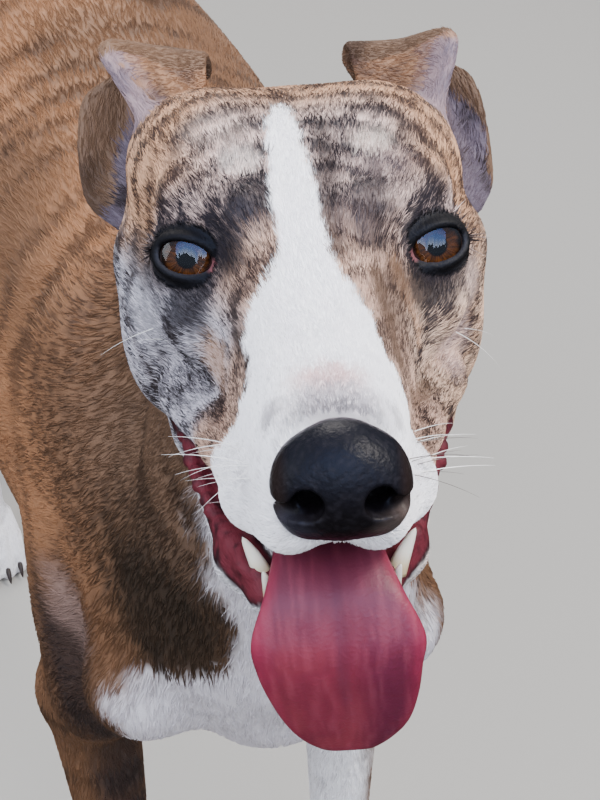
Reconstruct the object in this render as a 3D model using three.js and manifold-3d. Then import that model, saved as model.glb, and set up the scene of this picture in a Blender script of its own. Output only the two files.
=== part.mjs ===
// Greyhound, standing still with its head raised and turned, mouth open and tongue hanging.
// Millimetres, +Z up. The trunk lies along Y, the dog faces -Y and its left side is +X.
// The origin is on the floor, at the middle of the whole dog's outline seen from above.
// The body is one smooth field, a sum of muscles and bones, and thin cuts part it.

import * as THREE from 'three';
import { mergeVertices } from 'three/addons/utils/BufferGeometryUtils.js';
import Module from 'manifold-3d';

const wasm = await Module();
wasm.setup();

// Stance: where the dog's main landmarks lie, before the whole is centred on the origin
const CENTRE = [0, -32.4];
const EYE_LINE = [-32, -450, 850];
const HEAD_TURN = -16.4;
const HEAD_LIFT = 13;
const HEAD_ROLL = 1.5;
const GAP = 0.3;

// Trunk: y of each station, height of back and belly, half width
const TRUNK = {
  forechest: [-335, 590, 488, 40],
  shoulders: [-295, 655, 447, 67],
  withers: [-230, 700, 393, 88],
  girth: [-150, 695, 362, 104],
  ribs: [-60, 688, 374, 110],
  lastRib: [30, 691, 420, 103],
  waist: [110, 700, 480, 82],
  tuckUp: [180, 706, 522, 67],
  flank: [250, 702, 545, 68],
  croup: [310, 680, 562, 62],
  buttock: [348, 645, 580, 40],
};
const KEEL = 0.26;

// Limbs, on the dog's left side
const FRONT_STANCE = 72;
const HIND_STANCE = 74;
const FRONT_TOE_LINE = -262;
const HIND_TOE_LINE = 318;
const PAW_TOP = 62;
const ELBOW_CUT = 384;
const THIGH_CUT = 498;

// Head: y of each station from the eyes, height of top and bottom, half width
const SKULL = {
  nape: [104, 12, -20, 26],
  occiput: [86, 22, -36, 39],
  crown: [58, 29.5, -46, 51],
  temples: [28, 29.5, -54, 52.5],
  eyes: [0, 22.5, -52, 44],
  stop: [-24, 13, -47, 32],
  muzzleBase: [-46, 5, -45, 26],
  muzzle: [-76, 1, -42, 22],
  canines: [-98, -0.5, -38, 19.5],
  lipFront: [-112, -5, -34, 15.5],
};
const SKULL_LEAN = 0.055;
const FACE_SHEAR = 0.03;
const EYE_SPREAD = 35;
const EYE_RADIUS = 11;
const EYE_RISE = -1;
const GAZE = [0.24, -0.9, 0.36];
const LID_OPENING = [8.8, 5];
const LID_TILT = 10;
const LIP_LINE = -50;
const MOUTH_CORNER = -8;
const JAW_SWING = -1.5;

// Cuts between pieces: a point and the line across the cut, or a place along the trunk
const HEAD_CUT = [0, 86, -16];
const HEAD_CUT_LINE = [0, -0.86, 0.5];
const NECK_CUT = [0, -287, 636];
const NECK_CUT_LINE = [0, -0.64, 0.77];
const LOIN_CUT = 150;
const TAIL_CUT = 366;

// Cell size of each piece's first faceting, and the number of triangles it is thinned to
const FACETS = {
  head: [6.2, 1620],
  neck: [15, 1040],
  trunk: [20, 1220],
  leg: [11, 560],
  paw: [5.4, 290],
  nose: [4, 240],
};

// Vector arithmetic on plain triples
const add = (a, b) => [a[0] + b[0], a[1] + b[1], a[2] + b[2]];
const sub = (a, b) => [a[0] - b[0], a[1] - b[1], a[2] - b[2]];
const scale = (a, s) => [a[0] * s, a[1] * s, a[2] * s];
const dot = (a, b) => a[0] * b[0] + a[1] * b[1] + a[2] * b[2];
const cross = (a, b) => [
  a[1] * b[2] - a[2] * b[1],
  a[2] * b[0] - a[0] * b[2],
  a[0] * b[1] - a[1] * b[0],
];
const unit = (a) => scale(a, 1 / Math.hypot(...a));
const mix = (a, b, t) => a + (b - a) * t;
const mirrored = (p, side) => [p[0] * side, p[1], p[2]];

// Frames: the head's own axes, turned, lifted and rolled about the middle of the eyes
const headMatrix = new THREE.Matrix4()
  .makeRotationZ(THREE.MathUtils.degToRad(HEAD_TURN))
  .multiply(new THREE.Matrix4().makeRotationX(THREE.MathUtils.degToRad(-HEAD_LIFT)))
  .multiply(new THREE.Matrix4().makeRotationY(THREE.MathUtils.degToRad(-HEAD_ROLL)))
  .setPosition(...EYE_LINE);
const headInverse = headMatrix.clone().invert();
const moved = (matrix, p) => new THREE.Vector3(...p).applyMatrix4(matrix).toArray();
const headPoint = (p) => moved(headMatrix, p);

// Fields: each gives about the distance to a surface, below zero inside
function ball(centre, radius) {
  return (p) => Math.hypot(p[0] - centre[0], p[1] - centre[1], p[2] - centre[2]) - radius;
}

function egg(centre, radii) {
  return (p) => {
    const q = sub(p, centre);
    const near = Math.hypot(q[0] / radii[0], q[1] / radii[1], q[2] / radii[2]);
    const steep = Math.hypot(q[0] / radii[0] ** 2, q[1] / radii[1] ** 2, q[2] / radii[2] ** 2);
    return (near * (near - 1)) / Math.max(steep, 1e-6);
  };
}

function limb(start, startRadius, end, endRadius) {
  const along = sub(end, start);
  const length = dot(along, along);
  return (p) => {
    const t = Math.min(Math.max(dot(sub(p, start), along) / length, 0), 1);
    const q = sub(p, add(start, scale(along, t)));
    return Math.hypot(...q) - mix(startRadius, endRadius, t);
  };
}

function chain(...knots) {
  const parts = knots.slice(1).map(([p, r], i) => limb(knots[i][0], knots[i][1], p, r));
  return (p) => Math.min(...parts.map((part) => part(p)));
}

function blend(softness, ...fields) {
  return (p) => {
    let found = fields[0](p);
    for (let i = 1; i < fields.length; i += 1) {
      const next = fields[i](p);
      const overlap = Math.max(softness - Math.abs(found - next), 0) / softness;
      found = Math.min(found, next) - (overlap * overlap * softness) / 4;
    }
    return found;
  };
}

function carve(softness, field, tool) {
  return (p) => {
    const kept = field(p);
    const gone = -tool(p);
    const overlap = Math.max(softness - Math.abs(kept - gone), 0) / softness;
    return Math.max(kept, gone) + (overlap * overlap * softness) / 4;
  };
}

const both = (make) => [make(1), make(-1)];

// A value that runs smoothly through rows of [place, value, value, ...]
function throughRows(rows, place, column) {
  const last = rows.length - 1;
  if (place <= rows[0][0]) return rows[0][column];
  if (place >= rows[last][0]) return rows[last][column];
  let i = 0;
  while (rows[i + 1][0] < place) i += 1;
  const slope = (k) => {
    const before = rows[Math.max(k - 1, 0)];
    const after = rows[Math.min(k + 1, last)];
    return (after[column] - before[column]) / (after[0] - before[0]);
  };
  const span = rows[i + 1][0] - rows[i][0];
  const t = (place - rows[i][0]) / span;
  const a = rows[i][column];
  const b = rows[i + 1][column];
  return (
    a * (1 + 2 * t) * (1 - t) ** 2 +
    slope(i) * span * t * (1 - t) ** 2 +
    b * t * t * (3 - 2 * t) +
    slope(i + 1) * span * t * t * (t - 1)
  );
}

// A body of oval sections along y, narrower below by keel and squarer as power grows
function sections(table, keel, power) {
  const rows = Object.values(table).sort((a, b) => a[0] - b[0]);
  const first = rows[0][0];
  const last = rows[rows.length - 1][0];
  return (p) => {
    const y = Math.min(Math.max(p[1], first), last);
    const top = throughRows(rows, y, 1);
    const bottom = throughRows(rows, y, 2);
    const deep = (top - bottom) / 2;
    const v = (p[2] - (top + bottom) / 2) / deep;
    const wide = throughRows(rows, y, 3) * (1 + keel * Math.min(Math.max(v, -1), 1));
    const u = Math.abs(p[0]) / wide;
    const near = (u ** power + Math.abs(v) ** power) ** (1 / power);
    const ring = (near - 1) * Math.min(wide, deep) * 0.9;
    const beyond = Math.max(first - p[1], p[1] - last);
    return beyond > 0 ? Math.hypot(Math.max(ring, 0), beyond) : Math.max(ring, beyond);
  };
}

// Trunk, with shoulder blades, ribs, loin and rump
const trunkField = blend(
  30,
  sections(TRUNK, KEEL, 2.15),
  egg([0, -312, 512], [44, 30, 56]),
  egg([0, 315, 615], [58, 48, 55]),
);

// Neck: nape and throat run from the chest up to the head
const skullBack = headPoint([-2, 80, -8]);
const throatTop = headPoint([0, 62, -34]);
const neckField = blend(
  34,
  chain([[0, -225, 640], 58], [[-4, -285, 745], 42], [skullBack, 29]),
  chain([[0, -292, 560], 76], [[-6, -338, 690], 50], [throatTop, 33]),
);

// Foreleg from shoulder blade to pastern, with the dewclaw's small toe inside it
const DEWCLAW = [FRONT_STANCE - 15, -236, 92];
function foreleg(side) {
  const at = (x, y, z) => [x * side, y, z];
  return [
    limb(at(40, -222, 650), 36, at(61, -296, 505), 29),
    limb(at(62, -296, 497), 28, at(77, -212, 405), 28),
    egg(at(78, -218, 480), [27, 52, 90]),
    chain(
      [at(FRONT_STANCE + 5, -203, 394), 28],
      [at(FRONT_STANCE + 2, -210, 300), 22.5],
      [at(FRONT_STANCE, -217, 195), 17.5],
      [at(FRONT_STANCE, -220, 165), 20.5],
      [at(FRONT_STANCE, -221, 142), 20],
      [at(FRONT_STANCE, -225, 112), 17],
      [at(FRONT_STANCE, -232, 62), 17],
    ),
    ball(at(FRONT_STANCE, -202, 150), 8),
    ball(at(...DEWCLAW), 7.5),
  ];
}

// Hind leg from thigh to metatarsus
function hindleg(side) {
  const at = (x, y, z) => [x * side, y, z];
  return [
    egg(at(62, 262, 570), [38, 88, 96]),
    chain(
      [at(64, 262, 560), 52],
      [at(84, 206, 446), 37],
      [at(80, 264, 346), 28.5],
      [at(76, 330, 225), 16.5],
    ),
    limb(at(62, 320, 560), 34, at(80, 270, 430), 34),
    limb(at(HIND_STANCE, 352, 222), 9, at(HIND_STANCE + 4, 300, 350), 13),
    chain(
      [at(HIND_STANCE, 354, 216), 13],
      [at(HIND_STANCE, 342, 196), 18.5],
      [at(HIND_STANCE, 344, 160), 15.5],
      [at(HIND_STANCE, 345, 66), 16],
    ),
  ];
}

// Paw: four arched toes, each with its knuckle, and the pads beneath
const TOES = [-1.5, -0.5, 0.5, 1.5];
const TOE_RADII = [8.5, 8.3, 7.7, 8.6];
function toeJoints(side, stance, line, toe) {
  const reach = 12 - 5 * Math.abs(toe);
  const x = side * stance + toe * 12;
  return [
    [side * stance + toe * 9.5, line + 18, 38],
    [x, line - 5 - reach * 0.4, 33 - 3 * Math.abs(toe)],
    [x, line - 15 - reach * 0.8, 19],
    [x, line - 19 - reach, 8],
  ];
}

function paw(side, stance, line) {
  const hand = blend(
    8,
    limb([side * stance, line + 32, 64], 16.5, [side * stance, line + 15, 38], 18),
    egg([side * stance, line + 2, 19], [21, 25, 15]),
    egg([side * stance, line + 15, 10], [15, 15, 12]),
  );
  const toes = TOES.map((toe) => {
    const joints = toeJoints(side, stance, line, toe);
    return chain(...joints.map((joint, i) => [joint, TOE_RADII[i]]));
  });
  return blend(3, hand, ...toes);
}

// Tail: a long thin whip that hangs and curls up a little at its end
const TAIL = [
  [[0, 335, 640], 21],
  [[0, 372, 590], 16],
  [[2, 400, 500], 12.5],
  [[4, 410, 400], 10],
  [[4, 414, 310], 8],
  [[2, 432, 230], 6.5],
  [[0, 468, 185], 5.4],
  [[-2, 508, 172], 4.2],
];
const tailField = chain(...TAIL.slice(0, 3));

// Head, in its own frame: +X to the dog's left, -Y along the muzzle, +Z up
const skullField = blend(
  9,
  sections(SKULL, -0.1, 2.35),
  ...both((s) => limb([35 * s, -12, -16], 9, [46 * s, 32, -13], 10.5)),
  ...both((s) => limb([46 * s, 32, -13], 10.5, [44 * s, 64, -8], 9)),
  ...both((s) => egg([43 * s, 32, -37], [15, 33, 26])),
  ...both((s) => egg([27 * s, 52, 10.5], [26, 46, 20.5])),
  ...both((s) => limb([19 * s, -8, 14], 8, [34 * s, 10, 14], 9)),
);

// Eye sockets: a hollow in front of each eyeball, with a rim of lid around it
const gaze = (side) => unit(mirrored(GAZE, side));
const eyeSeat = (side) => [EYE_SPREAD * side, 0, EYE_RISE];
const LID_RING = [10.4, 6];
function lidRing(side) {
  const ahead = gaze(side);
  return (p) => {
    const q = sub(p, eyeSeat(side));
    const along = dot(q, ahead);
    const away = Math.hypot(...sub(q, scale(ahead, along)));
    return Math.hypot(away - LID_RING[0], along - LID_RING[1]) - 3.4;
  };
}
const socketField = (side) => egg(add(eyeSeat(side), scale(gaze(side), 19)), [13, 13, 12]);
const eyeField = blend(5, ...both((s) => ball(eyeSeat(s), EYE_RADIUS + 1.6)));

// Upper lips hang a little over the line of the mouth
const lipField = blend(
  6,
  ...both((s) => limb([11 * s, -104, -31], 9, [18 * s, -84, -34], 9.5)),
  ...both((s) => limb([18 * s, -84, -34], 9.5, [25 * s, -46, -38], 9)),
  ...both((s) => limb([25 * s, -46, -38], 9, [38.5 * s, -7, -42], 9)),
);

// Roof of the mouth
const palateField = blend(
  6,
  limb([0, -92, -44], 12, [0, -50, -46], 15),
  limb([0, -50, -46], 15, [0, -12, -48], 22),
);

// Lower jaw: two branches that meet at the chin, a floor between them
const jawPlace = (x, y, z) => [x + JAW_SWING * Math.min(Math.max(-y / 90, 0), 1), y, z];
const jawField = carve(
  4,
  blend(
    8,
    ...both((s) => limb(jawPlace(14 * s, -87, -63), 7, jawPlace(21 * s, -71, -62), 7.5)),
    ...both((s) => limb(jawPlace(21 * s, -71, -62), 7.5, jawPlace(33 * s, -6, -55), 9)),
    ...both((s) => limb([33 * s, -6, -55], 9, [37 * s, 24, -48], 12)),
    egg(jawPlace(0, -85, -66), [16, 11, 9.5]),
    egg([-0.5, -38, -69], [26, 50, 9.5]),
    egg([-0.5, -66, -69], [17, 26, 9]),
    limb([0, -20, -64], 13, [0, 44, -48], 28),
  ),
  blend(
    5,
    limb(jawPlace(0, -84, -54), 5, jawPlace(0, -50, -54), 9),
    limb(jawPlace(0, -50, -54), 9, [0, -16, -52], 17),
  ),
);

const bareHead = blend(5, skullField, lipField);
const hollowed = carve(7, bareHead, blend(1, ...both(socketField)));
const headShape = blend(5, hollowed, eyeField);
const lidded = blend(3, headShape, ...both(lidRing));
const faceFieldStraight = blend(7, carve(4, lidded, palateField), jawField);

// The skull behind the eyes leans a little to the dog's right
// and the lower face leans the same way
const leanAt = (p) => {
  const behind = Math.min(Math.max(p[1] + 8, 0), 70);
  const below = Math.min(Math.max(-10 - p[2], 0), 60);
  return SKULL_LEAN * behind + FACE_SHEAR * below;
};
const faceField = (p) => faceFieldStraight([p[0] + leanAt(p), p[1], p[2]]);
const inHead = (field) => (p) => field(moved(headInverse, p));

const BODY_SOFTNESS = 18;
const bodyFields = [
  trunkField,
  neckField,
  ...both(foreleg).flat(),
  ...both(hindleg).flat(),
];
const bodyField = blend(BODY_SOFTNESS, ...bodyFields);
const bodyAndHead = blend(12, bodyField, inHead(faceField));

// Thinning: the edges whose ends lie on nearly the same planes are drawn together first
// A quadric sums squared distances to planes: xx, xy, xz, xw, yy, yz, yw, zz, zw, ww
function quadricOf(normal, offset, weight) {
  const plane = [...normal, offset];
  const terms = [];
  for (let i = 0; i < 4; i += 1) {
    for (let j = i; j < 4; j += 1) terms.push(plane[i] * plane[j] * weight);
  }
  return terms;
}

function quadricAt(q, [x, y, z]) {
  const square = q[0] * x * x + q[4] * y * y + q[7] * z * z;
  const crossed = q[1] * x * y + q[2] * x * z + q[5] * y * z;
  const linear = q[3] * x + q[6] * y + q[8] * z;
  return square + 2 * crossed + 2 * linear + q[9];
}

// The place with the least sum, or the middle of the edge where that lies too far off
function quadricBest(q, a, b) {
  const middle = scale(add(a, b), 0.5);
  const rows = [[q[0], q[1], q[2]], [q[1], q[4], q[5]], [q[2], q[5], q[7]]];
  const size = dot(rows[0], cross(rows[1], rows[2]));
  const trace = q[0] + q[4] + q[7];
  if (Math.abs(size) < 1e-4 * trace ** 3) return middle;
  const right = scale([q[3], q[6], q[8]], -1);
  const found = [
    dot(right, cross(rows[1], rows[2])),
    dot(right, cross(rows[2], rows[0])),
    dot(right, cross(rows[0], rows[1])),
  ].map((v) => v / size);
  const reach = Math.hypot(...sub(a, b));
  return Math.hypot(...sub(found, middle)) < reach ? found : middle;
}

const EDGE_WEIGHT = 0.004;
const SHARE_PER_ROUND = 0.25;
const LEAST_FACING = 0.25;
function thinned(points, flatFaces, goal) {
  const place = points.map((p) => [...p]);
  let faces = [];
  for (let i = 0; i < flatFaces.length; i += 3) faces.push(flatFaces.slice(i, i + 3));
  const normalOf = (a, b, c) => cross(sub(b, a), sub(c, a));
  const quadrics = place.map(() => new Array(10).fill(0));
  for (const face of faces) {
    const normal = normalOf(...face.map((v) => place[v]));
    const area = Math.hypot(...normal);
    const flat = scale(normal, 1 / Math.max(area, 1e-9));
    const terms = quadricOf(flat, -dot(flat, place[face[0]]), area);
    for (const v of face) terms.forEach((term, i) => (quadrics[v][i] += term));
  }

  while (faces.length > goal) {
    const around = place.map(() => []);
    faces.forEach((face, i) => face.forEach((v) => around[v].push(i)));
    const near = (v) => new Set(around[v].flatMap((i) => faces[i]).filter((w) => w !== v));
    const edges = faces.flatMap(([a, b, c]) => [[a, b], [b, c], [c, a]]).filter(([a, b]) => a < b);
    const choices = edges.map(([a, b]) => {
      const sum = quadrics[a].map((term, i) => term + quadrics[b][i]);
      const best = quadricBest(sum, place[a], place[b]);
      const gap = sub(place[a], place[b]);
      const cost = quadricAt(sum, best) + EDGE_WEIGHT * dot(gap, gap) ** 2;
      return { a, b, sum, best, cost };
    });
    choices.sort((one, other) => one.cost - other.cost);
    const held = new Set();
    const gone = new Set();
    let left = faces.length;
    for (const { a, b, sum, best } of choices.slice(0, Math.ceil(choices.length * SHARE_PER_ROUND))) {
      if (left <= goal) break;
      if (held.has(a) || held.has(b)) continue;
      const besideA = near(a);
      const besideB = near(b);
      const shared = [...besideA].filter((v) => besideB.has(v));
      if (shared.length !== 2) continue;
      const pair = around[a].filter((i) => faces[i].includes(b));
      const rest = [...around[a], ...around[b]].filter((i) => !pair.includes(i));
      const turned = rest.some((i) => {
        const before = normalOf(...faces[i].map((v) => place[v]));
        const after = normalOf(...faces[i].map((v) => (v === a || v === b ? best : place[v])));
        const least = LEAST_FACING * Math.hypot(...before) * Math.hypot(...after);
        return dot(before, after) <= least;
      });
      if (turned) continue;
      pair.forEach((i) => gone.add(i));
      for (const i of around[b]) faces[i] = faces[i].map((v) => (v === b ? a : v));
      place[a] = best;
      quadrics[a] = sum;
      left -= 2;
      [a, b, ...besideA, ...besideB].forEach((v) => held.add(v));
    }
    if (gone.size === 0) break;
    faces = faces.filter((_, i) => !gone.has(i));
  }

  const used = [...new Set(faces.flat())].sort((a, b) => a - b);
  const renamed = new Map(used.map((v, i) => [v, i]));
  return solidOf(
    used.flatMap((v) => place[v]),
    faces.flat().map((v) => renamed.get(v)),
  );
}

// Faceting: a grid of cells, and in each cell one vertex for each sheet that crosses it
const CORNERS = [0, 1, 2, 3, 4, 5, 6, 7].map((i) => [i & 1, (i >> 1) & 1, (i >> 2) & 1]);
const EDGES = [0, 1, 2].flatMap((axis) =>
  [0, 1, 2, 3, 4, 5, 6, 7].filter((i) => !CORNERS[i][axis]).map((i) => [i, i | (1 << axis)]),
);
const SIDES_OF_CELL = [0, 1, 2].flatMap((axis) =>
  [0, 1].map((end) => [0, 1, 2, 3, 4, 5, 6, 7].filter((i) => CORNERS[i][axis] === end)),
);

// The crossed edges of a cell, in one list for each sheet of surface
function sheetsOf(found) {
  const crossed = EDGES.map(([a, b]) => found[a] < 0 !== found[b] < 0);
  const group = EDGES.map((_, i) => i);
  const leader = (i) => (group[i] === i ? i : leader(group[i]));
  for (const side of SIDES_OF_CELL) {
    const onSide = EDGES.map((_, i) => i).filter(
      (i) => crossed[i] && side.includes(EDGES[i][0]) && side.includes(EDGES[i][1]),
    );
    if (onSide.length === 2) group[leader(onSide[0])] = leader(onSide[1]);
    if (onSide.length === 4) {
      for (const corner of side.filter((i) => found[i] < 0)) {
        const [e, f] = onSide.filter((i) => EDGES[i].includes(corner));
        group[leader(e)] = leader(f);
      }
    }
  }
  const sheets = new Map();
  crossed.forEach((hit, i) => {
    if (hit) sheets.set(leader(i), [...(sheets.get(leader(i)) ?? []), i]);
  });
  return [...sheets.values()];
}

function slopeOf(field, p) {
  const step = 0.4;
  return [0, 1, 2].map((axis) => {
    const ahead = [...p];
    const behind = [...p];
    ahead[axis] += step;
    behind[axis] -= step;
    return (field(ahead) - field(behind)) / (2 * step);
  });
}

function onSurface(field, start) {
  let p = start;
  for (let round = 0; round < 3; round += 1) {
    const slope = slopeOf(field, p);
    const steep = Math.max(dot(slope, slope), 0.05);
    p = sub(p, scale(slope, field(p) / steep));
  }
  return p;
}

function faceted(field, low, high, [cell, goal]) {
  const count = low.map((v, i) => Math.ceil((high[i] - v) / cell) + 1);
  const at = (i, j, k) => [low[0] + i * cell, low[1] + j * cell, low[2] + k * cell];
  const index = (i, j, k) => (k * count[1] + j) * count[0] + i;
  const value = new Float64Array(count[0] * count[1] * count[2]);
  for (let k = 0; k < count[2]; k += 1) {
    for (let j = 0; j < count[1]; j += 1) {
      for (let i = 0; i < count[0]; i += 1) {
        const rim = [i, j, k].some((n, axis) => n === 0 || n === count[axis] - 1);
        value[index(i, j, k)] = rim ? cell : field(at(i, j, k));
      }
    }
  }
  const vertexOf = new Map();
  const points = [];
  const faces = [];
  for (let k = 0; k < count[2] - 1; k += 1) {
    for (let j = 0; j < count[1] - 1; j += 1) {
      for (let i = 0; i < count[0] - 1; i += 1) {
        const found = CORNERS.map((c) => value[index(i + c[0], j + c[1], k + c[2])]);
        const inside = found.filter((v) => v < 0).length;
        if (inside === 0 || inside === 8) continue;
        for (const sheet of sheetsOf(found)) {
          const places = sheet.map((e) => {
            const [a, b] = EDGES[e];
            const t = found[a] / (found[a] - found[b]);
            return [0, 1, 2].map((axis) => mix(CORNERS[a][axis], CORNERS[b][axis], t));
          });
          const local = scale(places.reduce(add), 1 / places.length);
          const start = at(i + local[0], j + local[1], k + local[2]);
          const shift = sub(onSurface(field, start), start);
          const far = Math.hypot(...shift);
          const most = cell * 0.4;
          for (const e of sheet) vertexOf.set(index(i, j, k) * EDGES.length + e, points.length);
          points.push(add(start, scale(shift, far > most ? most / far : 1)));
        }
      }
    }
  }
  const quad = (ring, outward) => {
    const [a, b, c, d] = outward ? ring : [...ring].reverse();
    const across = (p, q) => Math.hypot(...sub(points[p], points[q]));
    if (across(a, c) < across(b, d)) faces.push(a, b, c, a, c, d);
    else faces.push(a, b, d, b, c, d);
  };
  for (let k = 0; k < count[2] - 1; k += 1) {
    for (let j = 0; j < count[1] - 1; j += 1) {
      for (let i = 0; i < count[0] - 1; i += 1) {
        const here = value[index(i, j, k)] < 0;
        for (const axis of [0, 1, 2]) {
          const next = [i, j, k];
          next[axis] += 1;
          const [m, n] = [(axis + 1) % 3, (axis + 2) % 3];
          const onRim = [i, j, k][m] === 0 || [i, j, k][n] === 0;
          if (onRim || here === value[index(...next)] < 0) continue;
          const ring = [[0, 0], [1, 0], [1, 1], [0, 1]].map(([u, v]) => {
            const home = [i, j, k];
            home[m] -= u;
            home[n] -= v;
            const corner = (u << m) | (v << n);
            const edge = EDGES.findIndex(([a, b]) => a === corner && b === (corner | (1 << axis)));
            return vertexOf.get(index(...home) * EDGES.length + edge);
          });
          quad(ring, here);
        }
      }
    }
  }
  return thinned(points, faces, goal);
}

// Solids for cutting and joining
function solidOf(positions, faces) {
  return new wasm.Manifold(
    new wasm.Mesh({
      numProp: 3,
      vertProperties: new Float32Array(positions),
      triVerts: new Uint32Array(faces),
    }),
  );
}

function solidFrom(geometry, matrix) {
  const plain = geometry.clone();
  plain.deleteAttribute('normal');
  plain.deleteAttribute('uv');
  const merged = mergeVertices(plain, 1e-4);
  if (matrix) merged.applyMatrix4(matrix);
  return solidOf(merged.attributes.position.array, merged.index.array);
}

// A box from its two corners, in the dog's frame or in the frame of a matrix
function block(low, high, matrix) {
  const size = sub(high, low);
  const middle = scale(add(low, high), 0.5);
  const geometry = new THREE.BoxGeometry(...size).translate(...middle);
  return solidFrom(geometry, matrix);
}

// The same solid with each point moved away from a centre, to cut room for it
function grown(solid, centre, amount) {
  const { vertProperties, triVerts } = solid.getMesh();
  const positions = [];
  for (let i = 0; i < vertProperties.length; i += 3) {
    const p = [...vertProperties.slice(i, i + 3)];
    positions.push(...add(p, scale(unit(sub(p, centre)), amount)));
  }
  return solidOf(positions, triVerts);
}

const within = (solid, ...regions) => regions.reduce((kept, region) => kept.intersect(region), solid);
const without = (solid, ...regions) => regions.reduce((kept, region) => kept.subtract(region), solid);

// The block on the far side of a plane through a point, its normal pointing into the block
const HUGE = 1500;
function beyondPlane(point, normal) {
  const turn = new THREE.Quaternion().setFromUnitVectors(
    new THREE.Vector3(0, 0, 1),
    new THREE.Vector3(...unit(normal)),
  );
  const matrix = new THREE.Matrix4().compose(
    new THREE.Vector3(...add(point, scale(unit(normal), GAP / 2))),
    turn,
    new THREE.Vector3(1, 1, 1),
  );
  return block([-HUGE, -HUGE, 0], [HUGE, HUGE, HUGE], matrix);
}
const splitPlane = (point, normal) => [beyondPlane(point, normal), beyondPlane(point, scale(normal, -1))];

// A skin through rings of points, closed by a fan at each end. The rings of a flap run out along its front
// and home along its back, and its ends are closed straight across from front to back
function lofted(rings, flap = false) {
  const points = rings.flat();
  const around = rings[0].length;
  const faces = [];
  for (let i = 0; i < rings.length - 1; i += 1) {
    for (let j = 0; j < around; j += 1) {
      const a = i * around + j;
      const b = i * around + ((j + 1) % around);
      if (flap && j < around / 2 - 1) faces.push(a, b, a + around, b, b + around, a + around);
      else faces.push(a, b, b + around, a, b + around, a + around);
    }
  }
  const straightAcross = (start, turned) => {
    for (let j = 0; j < around / 2 - 1; j += 1) {
      const [a, b, c, d] = [j, j + 1, around - 2 - j, around - 1 - j].map((k) => start + k);
      faces.push(a, turned ? c : b, turned ? b : c, a, turned ? d : c, turned ? c : d);
    }
  };
  const fan = (start, turned) => {
    const middle = scale(points.slice(start, start + around).reduce(add), 1 / around);
    points.push(middle);
    for (let j = 0; j < around; j += 1) {
      const a = start + j;
      const b = start + ((j + 1) % around);
      faces.push(points.length - 1, turned ? b : a, turned ? a : b);
    }
  };
  const close = flap ? straightAcross : fan;
  close((rings.length - 1) * around, false);
  close(0, true);
  const solid = solidOf(points.flat(), faces);
  if (solid.volume() > 0) return solid;
  for (let i = 0; i < faces.length; i += 3) [faces[i + 1], faces[i + 2]] = [faces[i + 2], faces[i + 1]];
  return solidOf(points.flat(), faces);
}

// Tongue: rows of place on its path in the head's middle plane, half width, thickness
const TONGUE = [
  [[0, -14, -56], 14, 9],
  [[0, -50, -54], 13.5, 10],
  [[-1.3, -84, -52], 14.7, 10],
  [[-1, -99, -56], 18, 9],
  [[-0.4, -106, -66], 22.7, 8],
  [[-0.3, -107, -75], 21.8, 7.5],
  [[0.8, -105, -86], 19.7, 7],
  [[1.7, -102.5, -96], 16.5, 6],
  [[1.8, -100.5, -103], 12, 4.5],
  [[2, -99.5, -107.5], 6.5, 3],
];
const TONGUE_SIDES = 10;

function tongueSolid(extra) {
  const rings = TONGUE.map(([place, half, thick], i) => {
    const before = TONGUE[Math.max(i - 1, 0)][0];
    const after = TONGUE[Math.min(i + 1, TONGUE.length - 1)][0];
    const along = unit(sub(after, before));
    const face = unit(cross([1, 0, 0], along));
    const ring = [];
    for (let j = 0; j < TONGUE_SIDES; j += 1) {
      const turn = (j / TONGUE_SIDES) * 2 * Math.PI;
      const across = Math.cos(turn) * (half + extra);
      const groove = 2.2 * Math.exp(-((across / 5) ** 2)) * (Math.sin(turn) > 0 ? 1 : -0.4);
      const rise = Math.sin(turn) * (thick / 2 + extra) - groove;
      ring.push(headPoint(add(add(place, [across, 0, 0]), scale(face, rise))));
    }
    return ring;
  });
  return lofted(rings);
}

// Ear: rows from base to tip, each row from front edge round the back to the rear edge
const EARS = {
  left: [
    [[44, 52, 2], [41, 66, 12], [46, 84, 2], [60, 84, -22]],
    [[45, 60, 18], [45, 74, 22], [51, 96, 10], [66, 92, -12]],
    [[44, 66, 20], [52, 80, 40], [45, 104, 26], [60, 103, 19]],
    [[35, 84, 18], [37, 96, 33], [33, 110, 27], [40, 118, 16]],
    [[24, 97, 17], [20, 106, 31], [19, 114, 24], [23, 118, 16]],
  ],
  right: [
    [[44, 52, 2], [41, 66, 12], [46, 84, 2], [61, 84, -22]],
    [[49, 60, 18], [50, 74, 24], [56, 96, 10], [73, 90, -11]],
    [[49, 66, 21], [63, 80, 41], [56, 104, 28], [71, 100, 19]],
    [[42, 84, 20], [48, 96, 35], [42, 110, 28], [52, 116, 15]],
    [[32, 97, 16], [31, 106, 30], [30, 114, 22], [36, 118, 14]],
  ],
};
const EAR_THICKNESS = [6, 4.6, 3.8, 3.2, 2.6];
const EAR_STEPS = [5, 5];

function cubicThrough(values, t) {
  const last = values.length - 1;
  const i = Math.min(Math.floor(t * last), last - 1);
  const f = t * last - i;
  const at = (k) => {
    if (k < 0) return sub(scale(values[0], 2), values[1]);
    if (k > last) return sub(scale(values[last], 2), values[last - 1]);
    return values[k];
  };
  const [a, b, c, d] = [at(i - 1), at(i), at(i + 1), at(i + 2)];
  return b.map(
    (_, n) =>
      0.5 *
      (2 * b[n] +
        (c[n] - a[n]) * f +
        (2 * a[n] - 5 * b[n] + 4 * c[n] - d[n]) * f * f +
        (3 * b[n] - a[n] - 3 * c[n] + d[n]) * f * f * f),
  );
}

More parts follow.
